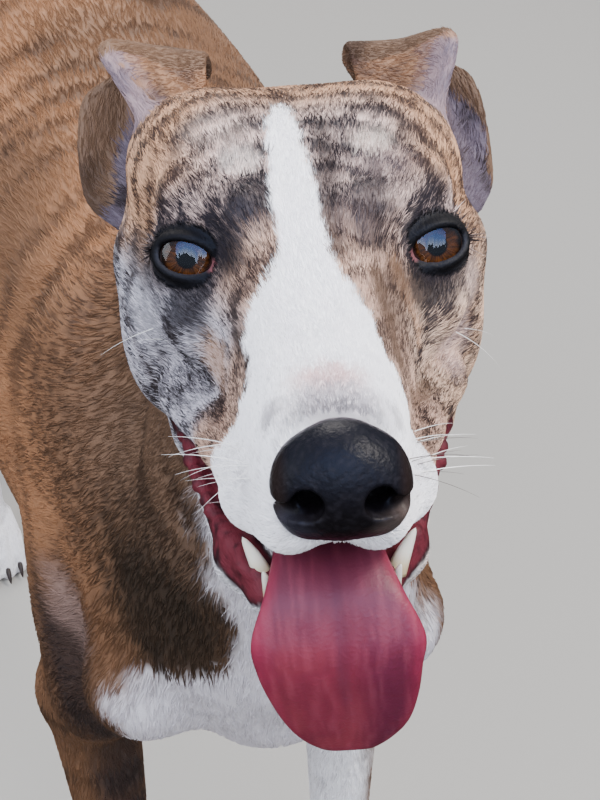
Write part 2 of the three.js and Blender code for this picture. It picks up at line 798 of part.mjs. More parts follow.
function earSolid(name, side) {
  const place = (u, v) => cubicThrough(EARS[name].map((row) => cubicThrough(row, v)), u);
  const [long, wide] = EAR_STEPS;
  const rings = [];
  for (let i = 0; i <= long; i += 1) {
    const u = i / long;
    const thick = throughRows(EAR_THICKNESS.map((t, k) => [k / (EAR_THICKNESS.length - 1), t]), u, 1);
    const front = [];
    const back = [];
    for (let j = 0; j <= wide; j += 1) {
      const v = j / wide;
      const du = sub(place(Math.min(u + 0.01, 1), v), place(Math.max(u - 0.01, 0), v));
      const dv = sub(place(u, Math.min(v + 0.01, 1)), place(u, Math.max(v - 0.01, 0)));
      const normal = unit(cross(du, dv));
      const edge = 0.35 + 0.65 * Math.sin(Math.PI * v) ** 0.5;
      const centre = place(u, v);
      front.push(add(centre, scale(normal, (thick * edge) / 2)));
      back.unshift(add(centre, scale(normal, (-thick * edge) / 2)));
    }
    rings.push([...front, ...back].map((p) => headPoint(mirrored(p, side))));
  }
  return lofted(rings, side > 0);
}

// Nose leather: a rounded pad with a wing over each nostril
const NOSE_X = 1.3;
const NOSE_PAD = { centre: [NOSE_X, -110.5, -16.2], radii: [15, 14, 15.4] };
const NOSE_BACK = { y: -102.5, z: -2, lean: 0.22 };
const noseBehind = (p) => NOSE_BACK.y - p[1] + NOSE_BACK.lean * (p[2] - NOSE_BACK.z);
const noseShape = carve(
  2,
  carve(
    1,
    blend(
      4,
      egg(NOSE_PAD.centre, NOSE_PAD.radii),
      ...both((s) => egg([9 * s + NOSE_X, -110, -18.5], [8.5, 12, 12])),
    ),
    noseBehind,
  ),
  blend(1, ...both((s) => egg([9 * s + NOSE_X, -122.5, -17.2], [4.2, 5, 3.8]))),
);

// Claws and teeth: bent cones
function bentCone(base, direction, droop, length, radius, sides) {
  const forward = unit(direction);
  const across = unit(cross(forward, [0, 0, 1]));
  const up = cross(across, forward);
  const rings = (droop ? [0, 0.5, 0.95] : [0, 0.92]).map((t) => {
    const middle = add(add(base, scale(forward, length * t)), scale(up, -droop * t * t));
    const r = radius * (1 - t * 0.92);
    return Array.from({ length: sides }, (_, j) => {
      const turn = (j / sides) * 2 * Math.PI;
      return add(middle, add(scale(across, r * 0.8 * Math.cos(turn)), scale(up, r * Math.sin(turn))));
    });
  });
  return lofted(rings);
}

const CLAW_SIDES = 4;
const DEWCLAW_REACH = [-0.25, -0.5, -0.83];
function dewclaw(side, extra) {
  const base = add(DEWCLAW, add(scale(DEWCLAW_REACH, 4), [-2.5, -2, 0]));
  return bentCone(mirrored(base, side), mirrored(DEWCLAW_REACH, side), 2.5, 14, 3 + extra, CLAW_SIDES);
}

const CLAW_LENGTH = 16;
const CLAW_RADIUS = 4;
function claw(side, stance, line, toe, extra) {
  const [, knuckle, , tip] = toeJoints(side, stance, line, toe);
  const ahead = unit([tip[0] - knuckle[0], tip[1] - knuckle[1], -4]);
  const base = add(tip, add(scale(ahead, 2), [0, 0, 5]));
  return bentCone(base, ahead, 4.5, CLAW_LENGTH, CLAW_RADIUS + extra, CLAW_SIDES);
}

// Teeth that the open mouth shows: canines, incisors and the first cheek teeth below
const TEETH = [
  ...both((s) => [[17.5 * s - 1, -86, -60], [0.34 * s, 0.1, 1], 14, 3]),
  ...both((s) => [[16.6 * s - 1, -92, -61], [0.1 * s, -0.2, 1], 10, 2]),
  ...[0, 1].flatMap((n) =>
    both((s) => [[(21 + 3.8 * n) * s - 1, -70 + 17 * n, -58 + n], [0, 0, 1], 7, 3.4]),
  ),
];

// Pieces, each parted from its neighbours by a thin cut
const floorBlock = block([-HUGE, -HUGE, 0], [HUGE, HUGE, HUGE]);
const headAxis = sub(headPoint(HEAD_CUT_LINE), headPoint([0, 0, 0]));
const [headSide, behindHead] = splitPlane(headPoint(HEAD_CUT), headAxis);
const [neckSide, trunkSide] = splitPlane(NECK_CUT, NECK_CUT_LINE);
const [abovePaw, belowPawTop] = splitPlane([0, 0, PAW_TOP], [0, 0, 1]);
const [rumpSide, foreSide] = splitPlane([0, LOIN_CUT, 0], [0, 1, 0]);
const tongue = tongueSolid(0);
const tongueRoom = tongueSolid(GAP + 0.1);

const eyeCentre = (side) => headPoint(eyeSeat(side));
function eyeball(side, extra) {
  const geometry = new THREE.IcosahedronGeometry(EYE_RADIUS + extra, 1).translate(...eyeCentre(side));
  return solidFrom(geometry);
}

// The gap between the lids: an oval that widens outwards
function lidGap(side) {
  const ahead = gaze(side);
  const across = unit(cross(ahead, [0, 0, -side]));
  const up = unit(cross(ahead, across));
  const lift = Math.sin(THREE.MathUtils.degToRad(LID_TILT));
  const rise = up[2] > 0 ? 1 : -1;
  const rings = [2, 8, 22].map((far, i) =>
    Array.from({ length: 12 }, (_, j) => {
      const turn = (j / 12) * 2 * Math.PI;
      const wide = LID_OPENING[0] * (1 + 0.22 * i);
      const high = LID_OPENING[1] * (1 + 0.3 * i);
      const u = Math.cos(turn) * wide;
      const v = Math.sin(turn) * high * rise + u * lift * rise * Math.sign(across[0] * side);
      return headPoint(add(add(eyeSeat(side), scale(ahead, far)), add(scale(across, u), scale(up, v))));
    }),
  );
  return lofted(rings);
}

const jawLow = [-60, -140, -130];
const jawHigh = [60, MOUTH_CORNER + 16, LIP_LINE];
const shiftHigh = (corner, amount) => corner.map((v) => v + amount);
const jawBlock = block(jawLow, jawHigh, headMatrix);
const jawRoom = block(shiftHigh(jawLow, -GAP), shiftHigh(jawHigh, GAP), headMatrix);

const SIDES = { left: 1, right: -1 };

const headBox = { low: [-125, -590, 735], high: [75, -310, 950] };
const headMesh = faceted(bodyAndHead, headBox.low, headBox.high, FACETS.head);
const earGap = (p) => bodyAndHead(p) - 4 * GAP;
const headRoom = faceted(earGap, headBox.low, headBox.high, FACETS.head);
const noseCentre = headPoint(NOSE_PAD.centre);
const noseLow = noseCentre.map((v) => v - 32);
const noseHigh = noseCentre.map((v) => v + 32);
const noseLeather = faceted(inHead(noseShape), noseLow, noseHigh, FACETS.nose);
const noseRoom = grown(noseLeather, noseCentre, 0.5);

const pieces = new Map();
const keep = (name, solid, finish) => pieces.set(name, { solid, finish });

keep(
  'head',
  without(
    within(headMesh, headSide),
    jawRoom,
    tongueRoom,
    noseRoom,
    ...both((s) => eyeball(s, GAP)),
    ...both(lidGap),
  ),
  'brindle',
);

const lowerTeeth = TEETH.map(([base, direction, length, radius]) => {
  const root = headPoint(base);
  const tip = headPoint(add(base, direction));
  return bentCone(root, sub(tip, root), 0, length, radius, 5);
}).filter((tooth) => tooth.intersect(tongueRoom).volume() < tooth.volume() * 0.1);
keep(
  'lower_jaw',
  without(lowerTeeth.reduce((a, b) => a.add(b), within(headMesh, jawBlock)), tongueRoom),
  'brindle',
);
keep('nose', noseLeather, 'nose');
keep('tongue', tongue, 'tongue');
for (const [name, side] of Object.entries(SIDES)) {
  keep(`eye_${name}`, eyeball(side, 0), 'eye');
  keep(`ear_${name}`, without(earSolid(name, side), headRoom), 'brindle');
}

const neckMesh = faceted(bodyAndHead, [-130, -470, 430], [100, -150, 900], FACETS.neck);
keep('neck', within(neckMesh, neckSide, behindHead), 'brindle');

// Blocks that take the legs off the trunk
const frontBlock = (side, extra) => {
  const x = [44 - extra, 160].map((v) => v * side).sort((a, b) => a - b);
  return block([x[0], -290 - extra, -10], [x[1], -155 + extra, ELBOW_CUT + extra]);
};
const hindBlock = (side, extra) => {
  const x = [1 - extra, 170].map((v) => v * side).sort((a, b) => a - b);
  return block([x[0], 145 - extra, -10], [x[1], 480, THIGH_CUT + extra]);
};
const [tailSide, tailFront] = splitPlane([0, TAIL_CUT, 0], [0, 1, 0]);
const rearField = blend(BODY_SOFTNESS, ...bodyFields, tailField);

const trunkMesh = faceted(rearField, [-140, -400, 340], [140, 420, 740], FACETS.trunk);
const trunkSolid = without(
  within(trunkMesh, trunkSide, tailFront),
  ...both((s) => frontBlock(s, GAP)),
  ...both((s) => hindBlock(s, GAP)),
);
keep('chest', within(trunkSolid, foreSide), 'brindle');
keep('loin_and_rump', within(trunkSolid, rumpSide), 'brindle');

// The tail is a tube of rings along a curve through its landmarks
const TAIL_STEPS = 15;
const TAIL_SIDES = 6;
function tailSolid() {
  const knots = TAIL.map(([place, radius]) => [...place, radius]);
  const spine = (t) => cubicThrough(knots.map((k) => k.slice(0, 3)), t);
  const girth = (t) => throughRows(knots.map((k, i) => [i / (knots.length - 1), k[3]]), t, 1);
  const rings = Array.from({ length: TAIL_STEPS + 1 }, (_, i) => {
    const t = i / TAIL_STEPS;
    const along = unit(sub(spine(Math.min(t + 0.01, 1)), spine(Math.max(t - 0.01, 0))));
    const side = unit(cross(along, [1, 0, 0]));
    const other = cross(along, side);
    return Array.from({ length: TAIL_SIDES }, (__, j) => {
      const turn = (j / TAIL_SIDES) * 2 * Math.PI;
      const out = add(scale(side, Math.cos(turn)), scale(other, Math.sin(turn)));
      return add(spine(t), scale(out, girth(t)));
    });
  });
  return lofted(rings);
}
keep('tail', within(tailSolid(), tailSide), 'brindle');

for (const [name, side] of Object.entries(SIDES)) {
  const legs = {
    fore: { make: foreleg, line: FRONT_TOE_LINE, stance: FRONT_STANCE, region: frontBlock(side, 0) },
    hind: { make: hindleg, line: HIND_TOE_LINE, stance: HIND_STANCE, region: hindBlock(side, 0) },
  };
  keep(`claw_fore_${name}_5`, dewclaw(side, 0), 'claw');
  for (const [which, leg] of Object.entries(legs)) {
    const field = blend(6, bodyField, paw(side, leg.stance, leg.line));
    const low = side > 0 ? 0 : -150;
    const upper = faceted(field, [low, leg.line - 200, 40], [low + 150, leg.line + 180, 560], FACETS.leg);
    const limbSolid = within(upper, leg.region, abovePaw);
    const spur = which === 'fore' ? [dewclaw(side, GAP)] : [];
    keep(`${which}leg_${name}`, without(limbSolid, ...spur), 'brindle');
    const lowHalf = [side * leg.stance - 45, leg.line - 60, -20];
    const highHalf = [side * leg.stance + 45, leg.line + 70, PAW_TOP + 16];
    const sole = within(faceted(field, lowHalf, highHalf, FACETS.paw), floorBlock, belowPawTop);
    const sockets = TOES.map((toe) => claw(side, leg.stance, leg.line, toe, GAP));
    keep(`${which}paw_${name}`, without(sole, ...sockets), 'brindle');
    TOES.forEach((toe, i) => {
      keep(`claw_${which}_${name}_${i + 1}`, claw(side, leg.stance, leg.line, toe, 0), 'claw');
    });
  }
}

const root = new THREE.Group();

const FINISHES = {
  brindle: { color: 0x8f7460, roughness: 0.75, metalness: 0 },
  nose: { color: 0x1d1c20, roughness: 0.35, metalness: 0 },
  tongue: { color: 0xc4626c, roughness: 0.4, metalness: 0 },
  eye: { color: 0x2c160c, roughness: 0.05, metalness: 0 },
  claw: { color: 0x2b2523, roughness: 0.45, metalness: 0 },
};

for (const [name, { solid, finish }] of pieces) {
  const { vertProperties, triVerts } = solid.getMesh();
  const geometry = new THREE.BufferGeometry();
  geometry.setAttribute('position', new THREE.BufferAttribute(new Float32Array(vertProperties), 3));
  geometry.setIndex(new THREE.BufferAttribute(new Uint32Array(triVerts), 1));
  geometry.computeVertexNormals();
  const mesh = new THREE.Mesh(geometry, new THREE.MeshStandardMaterial(FINISHES[finish]));
  mesh.name = name;
  root.add(mesh);
}
root.position.set(-CENTRE[0], -CENTRE[1], 0);

export default root;
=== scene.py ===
# %% [markdown]
# # A standing greyhound, life size
# A still museum model: head raised and turned a little, mouth open, tongue out, ears folded back.
# The real thing is a mount: one skin over a sculpted body, set with glass eyes, a cast tongue,
# a modelled nose, horn claws and a short coat that lies flat. The cells follow that order.

from functools import reduce

import bpy
import numpy as np
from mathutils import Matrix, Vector
from mathutils.bvhtree import BVHTree


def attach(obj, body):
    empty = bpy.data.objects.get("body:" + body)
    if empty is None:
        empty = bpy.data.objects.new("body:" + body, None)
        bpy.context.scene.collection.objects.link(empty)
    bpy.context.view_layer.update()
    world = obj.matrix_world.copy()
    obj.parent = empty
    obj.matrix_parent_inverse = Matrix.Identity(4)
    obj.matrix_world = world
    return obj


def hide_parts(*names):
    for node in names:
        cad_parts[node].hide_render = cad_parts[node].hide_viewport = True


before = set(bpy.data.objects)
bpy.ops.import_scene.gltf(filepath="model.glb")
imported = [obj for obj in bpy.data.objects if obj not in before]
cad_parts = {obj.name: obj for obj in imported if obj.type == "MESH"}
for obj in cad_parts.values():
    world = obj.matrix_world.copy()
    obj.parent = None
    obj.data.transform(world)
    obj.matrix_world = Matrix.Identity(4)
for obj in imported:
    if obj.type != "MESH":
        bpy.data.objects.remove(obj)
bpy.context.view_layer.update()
print("frame holds", len(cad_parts), "solids")

# %% [markdown]
# ## The dog's measures
# The skin is sculpted from the same landmarks as the solids it covers, in millimetres, so that the two
# keep one outline. The trunk lies along Y, the dog faces -Y and its left side is +X.

# %% Measures
CENTRE = np.array([0.0, -32.4, 0.0])
EYE_LINE = np.array([-32.0, -450.0, 850.0])
HEAD_TURN, HEAD_LIFT, HEAD_ROLL = -16.4, 13.0, 1.5
FRONT_STANCE, HIND_STANCE = 72, 74
FRONT_TOE_LINE, HIND_TOE_LINE = -262, 318
EYE_SPREAD, EYE_RADIUS, EYE_RISE = 35, 11, -1
SKULL_LEAN, FACE_SHEAR = 0.055, 0.03
JAW_SWING = -1.5
# y of each station, height of back and belly, half width
TRUNK = {
    "forechest": (-335, 590, 488, 40),
    "shoulders": (-295, 655, 447, 67),
    "withers": (-230, 700, 393, 88),
    "girth": (-150, 695, 362, 104),
    "ribs": (-60, 688, 374, 110),
    "last rib": (30, 691, 420, 103),
    "waist": (110, 700, 480, 82),
    "tuck up": (180, 706, 522, 67),
    "flank": (250, 702, 545, 68),
    "croup": (310, 680, 562, 62),
    "buttock": (348, 645, 580, 40),
}
# y of each station from the eyes, height of top and bottom, half width, in the head's own frame
SKULL = {
    "nape": (104, 12, -20, 26),
    "occiput": (86, 22, -36, 39),
    "crown": (58, 29.5, -46, 51),
    "temples": (28, 29.5, -54, 52.5),
    "eyes": (0, 22.5, -52, 44),
    "stop": (-24, 13, -47, 32),
    "muzzle base": (-46, 5, -45, 26),
    "muzzle": (-76, 1, -42, 22),
    "canines": (-98, -0.5, -38, 19.5),
    "lip front": (-112, -5, -34, 15.5),
}


def rotation(axis, degrees):
    """A turn about x, y or z."""
    c, s = np.cos(np.radians(degrees)), np.sin(np.radians(degrees))
    m = np.eye(3)
    i, j = [k for k in range(3) if k != axis]
    m[i, i] = m[j, j] = c
    m[i, j], m[j, i] = (s, -s) if axis == 1 else (-s, s)
    return m


HEAD_AXES = rotation(2, HEAD_TURN) @ rotation(0, -HEAD_LIFT) @ rotation(1, -HEAD_ROLL)


def head_point(p):
    """From the head's own frame to the dog's frame, points in rows."""
    return np.asarray(p, float) @ HEAD_AXES.T + EYE_LINE


def in_head(p):
    """From the dog's frame, points in columns, to the head's own frame."""
    return HEAD_AXES.T @ (p - EYE_LINE[:, None])


def unit(v, axis=-1):
    return v / np.maximum(np.linalg.norm(v, axis=axis, keepdims=True), 1e-9)


print("head turned", HEAD_TURN, "and lifted", HEAD_LIFT, "degrees")

# %% [markdown]
# ## Sculpting with fields
# A sculptor builds a mannequin from lumps of clay and smooths them together. Here each lump is a field that
# gives about the distance to its surface, below zero inside, and a blend runs two lumps into one.
# Points are columns of a 3 by N array, so a whole cloud of them is measured at once.

# %% Lumps and blends
def ball(centre, radius):
    c = np.array(centre, float)[:, None]
    return lambda p: np.sqrt(((p - c) ** 2).sum(0)) - radius


def egg(centre, radii):
    c = np.array(centre, float)[:, None]
    r = np.array(radii, float)[:, None]

    def value(p):
        q = (p - c) / r
        near = np.sqrt((q * q).sum(0))
        steep = np.sqrt(((q / r) ** 2).sum(0))
        return near * (near - 1) / np.maximum(steep, 1e-6)

    return value


def limb(start, start_radius, end, end_radius):
    a = np.array(start, float)[:, None]
    along = np.array(end, float)[:, None] - a
    length = (along * along).sum()

    def value(p):
        q = p - a
        t = np.clip((q * along).sum(0) / length, 0, 1)
        q -= along * t
        return np.sqrt((q * q).sum(0)) - (start_radius + (end_radius - start_radius) * t)

    return value


def nearest(*fields):
    return lambda p: np.minimum.reduce([f(p) for f in fields])


def chain(*knots):
    return nearest(*[limb(*a, *b) for a, b in zip(knots[:-1], knots[1:])])


def soft_least(a, b, softness):
    over = np.maximum(softness - np.abs(a - b), 0) / softness
    return np.minimum(a, b) - over * over * softness / 4


def blend(softness, *fields):
    return lambda p: reduce(lambda a, b: soft_least(a, b, softness), [f(p) for f in fields])


def carve(softness, field, tool):
    return lambda p: -soft_least(-field(p), tool(p), softness)


def close_to(centre, reach, field):
    """The field within reach of a place, and a plain large distance beyond, which saves work."""
    c = np.array(centre, float)[:, None]

    def value(p):
        away = np.sqrt(((p - c) ** 2).sum(0))
        found = away - reach + 30
        inside = away < reach
        if inside.any():
            found[inside] = field(p[:, inside])
        return found

    return value


def through(rows, place, columns):
    """Smooth curves through rows of (place, value, value, ...), at many places."""
    rows = np.array(rows, float)
    y = rows[:, 0]
    v = rows[:, columns]
    before, after = np.maximum(np.arange(len(y)) - 1, 0), np.minimum(np.arange(len(y)) + 1, len(y) - 1)
    slope = (v[after] - v[before]) / (y[after] - y[before])[:, None]
    place = np.clip(place, y[0], y[-1])
    i = np.clip(np.searchsorted(y, place, "right") - 1, 0, len(y) - 2)
    span = (y[i + 1] - y[i])[:, None]
    t = ((place - y[i]) / span[:, 0])[:, None]
    return (
        v[i] * (1 + 2 * t) * (1 - t) ** 2
        + slope[i] * span * t * (1 - t) ** 2
        + v[i + 1] * t * t * (3 - 2 * t)
        + slope[i + 1] * span * t * t * (t - 1)
    ).T


def sections(table, keel, power):
    """Oval sections along y, narrower below by keel and squarer as power grows."""
    rows = sorted(table.values())

    def value(p):
        y = np.clip(p[1], rows[0][0], rows[-1][0])
        top, bottom, half = through(rows, y, [1, 2, 3])
        deep = (top - bottom) / 2
        v = (p[2] - (top + bottom) / 2) / deep
        wide = half * (1 + keel * np.clip(v, -1, 1))
        near = ((np.abs(p[0]) / wide) ** power + np.abs(v) ** power) ** (1 / power)
        ring = (near - 1) * np.minimum(wide, deep) * 0.9
        beyond = np.maximum(rows[0][0] - p[1], p[1] - rows[-1][0])
        return np.where(beyond > 0, np.hypot(np.maximum(ring, 0), beyond), np.maximum(ring, beyond))

    return value


def both(make):
    return [make(1), make(-1)]


# %% [markdown]
# ## The body
# Rib cage, shoulder blades, loin and rump, then the neck and the legs, each muscle a lump of its own.
# Greyhounds are deep in the chest, drawn up in the loin, and long in the thigh and the forearm.

# %% Body lumps
def foreleg(s):
    stance = FRONT_STANCE
    return [
        limb((40 * s, -222, 650), 36, (61 * s, -296, 505), 29),
        limb((62 * s, -296, 497), 28, (77 * s, -212, 405), 28),
        egg((78 * s, -218, 480), (27, 52, 90)),
        chain(
            (((stance + 5) * s, -203, 394), 28),
            (((stance + 2) * s, -210, 300), 22.5),
            ((stance * s, -217, 195), 17.5),
            ((stance * s, -220, 165), 20.5),
            ((stance * s, -221, 142), 20),
            ((stance * s, -225, 112), 17),
            ((stance * s, -232, 62), 17),
        ),
        ball((stance * s, -202, 150), 8),
        ball(((stance - 15) * s, -236, 92), 7.5),
    ]


def hindleg(s):
    stance = HIND_STANCE
    return [
        egg((62 * s, 262, 570), (38, 88, 96)),
        chain(
            ((64 * s, 262, 560), 52),
            ((84 * s, 206, 446), 37),
            ((80 * s, 264, 346), 28.5),
            ((76 * s, 330, 225), 16.5),
        ),
        limb((62 * s, 320, 560), 34, (80 * s, 270, 430), 34),
        limb((stance * s, 352, 222), 9, ((stance + 4) * s, 300, 350), 13),
        chain(
            ((stance * s, 354, 216), 13),
            ((stance * s, 342, 196), 18.5),
            ((stance * s, 344, 160), 15.5),
            ((stance * s, 345, 66), 16),
        ),
    ]


TOES = (-1.5, -0.5, 0.5, 1.5)
TOE_RADII = (8.5, 8.3, 7.7, 8.6)


def toe_joints(side, stance, line, toe):
    reach = 12 - 5 * abs(toe)
    x = side * stance + toe * 12
    base = np.array([side * stance + toe * 9.5, line + 18, 38])
    knuckle = np.array([x, line - 5 - reach * 0.4, 33 - 3 * abs(toe)])
    middle = np.array([x, line - 15 - reach * 0.8, 19])
    tip = np.array([x, line - 19 - reach, 8])
    return base, knuckle, middle, tip


def paw(side, stance, line):
    centre = side * stance
    toes = [chain(*zip(toe_joints(side, stance, line, toe), TOE_RADII)) for toe in TOES]
    hand = blend(
        8,
        limb((centre, line + 32, 64), 16.5, (centre, line + 15, 38), 18),
        egg((centre, line + 2, 19), (21, 25, 15)),
        egg((centre, line + 15, 10), (15, 15, 12)),
    )
    return close_to((centre, line, 30), 90, blend(3, hand, *toes))


TAIL = [
    ((0, 335, 640), 20),
    ((0, 372, 590), 15),
    ((2, 400, 500), 11.5),
    ((4, 410, 400), 9),
    ((4, 414, 310), 7),
    ((2, 432, 230), 5.6),
    ((0, 468, 185), 4.6),
    ((-2, 508, 172), 3.6),
]


def curve_through(points, steps):
    """Points of a smooth curve through knots."""
    points = np.asarray(points, float)
    last = len(points) - 1
    t = np.linspace(0, last, steps)
    i = np.minimum(t.astype(int), last - 1)
    f = (t - i).reshape((-1,) + (1,) * (points.ndim - 1))
    padded = np.concatenate([2 * points[:1] - points[1:2], points, 2 * points[-1:] - points[-2:-1]])
    a, b, c, d = padded[i], padded[i + 1], padded[i + 2], padded[i + 3]
    return 0.5 * (2 * b + (c - a) * f + (2 * a - 5 * b + 4 * c - d) * f**2 + (3 * b - a - 3 * c + d) * f**3)


tail_line = curve_through([p for p, _ in TAIL], 29)
tail_girth = curve_through([[r] for _, r in TAIL], 29)[:, 0]
tail_field = chain(*zip(tail_line, tail_girth))

skull_back, throat_top = head_point([(-2, 80, -8), (0, 62, -34)])
trunk_field = blend(
    30,
    sections(TRUNK, 0.26, 2.15),
    egg((0, -312, 512), (44, 30, 56)),
    egg((0, 315, 615), (58, 48, 55)),
)
neck_field = blend(
    34,
    chain(((0, -225, 640), 58), ((-4, -285, 745), 42), (skull_back, 29)),
    chain(((0, -292, 560), 76), ((-6, -338, 690), 50), (throat_top, 33)),
)
body_field = blend(
    18,
    trunk_field,
    neck_field,
    *both(lambda s: close_to((60 * s, -235, 340), 380, blend(18, *foreleg(s)))),
    *both(lambda s: close_to((70 * s, 280, 340), 380, blend(18, *hindleg(s)))),
    close_to((2, 410, 400), 330, tail_field),
)
PAIRS = (("fore", FRONT_STANCE, FRONT_TOE_LINE), ("hind", HIND_STANCE, HIND_TOE_LINE))
paws = [paw(s, stance, line) for _, stance, line in PAIRS for s in (1, -1)]
print("tail", round(float(np.linalg.norm(np.diff(tail_line, axis=0), axis=1).sum())), "mm long")

# %% [markdown]
# ## The head
# Built in its own frame: +X to the dog's left, -Y along the muzzle, +Z up, the origin between the eyes.
# A greyhound's skull is a long wedge: flat forehead, hardly any stop, strong cheek arches that sweep back
# from under the eyes, and a muzzle that narrows steadily to the nose.

# %% Skull, lips and jaw
skull_field = blend(
    9,
    sections(SKULL, -0.1, 2.35),
    *both(lambda s: limb((35 * s, -12, -16), 9, (46 * s, 32, -13), 10.5)),
    *both(lambda s: limb((46 * s, 32, -13), 10.5, (44 * s, 64, -8), 9)),
    *both(lambda s: egg((43 * s, 32, -37), (15, 33, 26))),
    *both(lambda s: egg((27 * s, 52, 10.5), (26, 46, 20.5))),
    *both(lambda s: limb((19 * s, -8, 14), 8, (34 * s, 10, 14), 9)),
)
lip_field = blend(
    6,
    *both(lambda s: limb((11 * s, -104, -31), 9, (18 * s, -84, -34), 9.5)),
    *both(lambda s: limb((18 * s, -84, -34), 9.5, (25 * s, -46, -38), 9)),
    *both(lambda s: limb((25 * s, -46, -38), 9, (38.5 * s, -7, -42), 9)),
)
palate_field = blend(
    6,
    limb((0, -92, -44), 12, (0, -50, -46), 15),
    limb((0, -50, -46), 15, (0, -12, -48), 22),
)


def jaw_place(x, y, z):
    return (x + JAW_SWING * min(max(-y / 90, 0), 1), y, z)


jaw_hollow = blend(
    5,
    limb(jaw_place(0, -84, -54), 5, jaw_place(0, -50, -54), 9),
    limb(jaw_place(0, -50, -54), 9, (0, -16, -52), 17),
)
jaw_field = carve(
    4,
    blend(
        8,
        *both(lambda s: limb(jaw_place(14 * s, -87, -63), 7, jaw_place(21 * s, -71, -62), 7.5)),
        *both(lambda s: limb(jaw_place(21 * s, -71, -62), 7.5, jaw_place(33 * s, -6, -55), 9)),
        *both(lambda s: limb((33 * s, -6, -55), 9, (37 * s, 24, -48), 12)),
        egg(jaw_place(0, -85, -66), (16, 11, 9.5)),
        egg((-0.5, -38, -69), (26, 50, 9.5)),
        egg((-0.5, -66, -69), (17, 26, 9)),
        limb((0, -20, -64), 13, (0, 44, -48), 28),
    ),
    jaw_hollow,
)

# %% [markdown]
# ## Eyelids
# A dog's lids are a dark, moist rim that fits the eyeball closely, an almond with its outer corner a little
# higher. The rim is a thin tube bent round the ball, and the ball's room is cut out again afterwards.

# %% Lids and sockets
LID_WIDTH, LID_UPPER, LID_LOWER = 9.2, 5.8, 5.8
LID_TILT = 9
LID_RIM = 1.5


def eye_axes(side):
    """Across to the outer corner, up, and ahead, for the left (1) or right (-1) eye."""
    ahead = unit(np.array([0.24 * side, -0.9, 0.36]))
    across = unit(np.cross(ahead, [0, 0, -side]))
    across = across * np.sign(across[0] * side)
    up = unit(np.cross(across, ahead)) * side
    up = up * np.sign(up[2])
    t = np.radians(LID_TILT)
    return np.array([across * np.cos(t) + up * np.sin(t), up * np.cos(t) - across * np.sin(t), ahead])


def eye_seat(side):
    return np.array([EYE_SPREAD * side, 0, EYE_RISE], float)


def lid_edge(side, spread=1.0, radius=EYE_RADIUS + 1.0, steps=36):
    """Points of the lids' edge on the eyeball, from the inner corner round the top and back below."""
    t = np.linspace(0, 2 * np.pi, steps, endpoint=False)
    u = -np.cos(t) * LID_WIDTH * spread
    bow = np.abs(np.sin(t)) ** 0.85
    v = np.where(np.sin(t) > 0, bow * LID_UPPER, -bow * LID_LOWER) * spread
    w = np.sqrt(np.maximum(radius**2 - u**2 - v**2, 1))
    return eye_seat(side) + np.array([u, v, w]).T @ eye_axes(side)


def lid_tube(side, thickness):
    line = lid_edge(side)
    return close_to(eye_seat(side), 45, chain(*[(p, thickness) for p in [*line, line[0]]]))


def lid_gap(side):
    """The opening between the lids: an almond that widens away from the eyeball."""
    axes, seat = eye_axes(side), eye_seat(side)[:, None]

    def value(p):
        u, v, w = axes @ (p - seat)
        open_ = np.interp(w, (2, 9, 24), (0.7, 1, 1.35))
        high = np.where(v > 0, LID_UPPER, LID_LOWER) * open_
        wide = LID_WIDTH * open_
        near = ((np.abs(u) / wide) ** 1.9 + (np.abs(v) / high) ** 1.9) ** (1 / 1.9)
        return np.maximum((near - 1) * high * 0.8, np.maximum(3 - w, w - 24))

    return close_to(eye_seat(side), 45, value)


def socket(side):
    return egg(eye_seat(side) + eye_axes(side)[2] * 19.5, (12.5, 12.5, 11.5))


def lids(shape):
    """Adds lids to a head's shape, round the two eyeballs."""
    full = blend(5, carve(7, shape, blend(1, *both(socket))),
                 *both(lambda s: close_to(eye_seat(s), 60, ball(eye_seat(s), EYE_RADIUS + 1.6))))
    opened = carve(1.2, full, nearest(*both(lid_gap)))
    rimmed = blend(2.2, opened, *both(lambda s: lid_tube(s, LID_RIM)))
    return carve(0.3, rimmed, nearest(*both(lambda s: ball(eye_seat(s), EYE_RADIUS + 0.12))))


# %% [markdown]
# ## Lips of the lower jaw
# Behind the canines a dog's lower lip is fringed with soft, dark red knobs. They are small balls set along
# the lip's edge on each side, one a little larger than the next.

# %% Lip fringe
LIP_EDGE = ((17.5, -88, -58.5), (21, -81, -57.5), (25.5, -70, -56.5), (29.5, -57, -55), (33.5, -42, -53),
            (37, -26, -51), (39.5, -12, -49))


def lip_edge(side, steps):
    return curve_through([jaw_place(x * side, y, z) for x, y, z in LIP_EDGE], steps)


def lip_fringe(side):
    line = lip_edge(side, 30)
    rng = np.random.default_rng(11 + side)
    knobs = []
    for i, place in enumerate(line[1:-2]):
        size = 2.1 + 0.7 * (i % 2) + rng.uniform(-0.3, 0.3)
        lean = np.array([side * rng.uniform(0.2, 1.4), 0, rng.uniform(-0.2, 1.6)])
        knobs.append(ball(place + lean, size))
    return close_to((30 * side, -50, -55), 85, blend(1.2, *knobs))


mouth_field = blend(7, carve(4, blend(5, skull_field, lip_field), palate_field), jaw_field)
face_straight = lids(blend(2.5, mouth_field, *both(lip_fringe)))


def lean_at(p):
    """The skull behind the eyes, and the lower face, lean a little to the dog's right."""
    return SKULL_LEAN * np.clip(p[1] + 8, 0, 70) + FACE_SHEAR * np.clip(-10 - p[2], 0, 60)


def without_lean(p):
    return p + lean_at(p) * np.array([1, 0, 0])[:, None]


def face_field(p):
    return face_straight(without_lean(p))


# %% [markdown]
# ## Ears
# Rose ears: thin leather, folded back along the neck, with the inner flap showing. Each is a sheet through
# a few rows of points, from the base to the tip, given thickness by its distance.

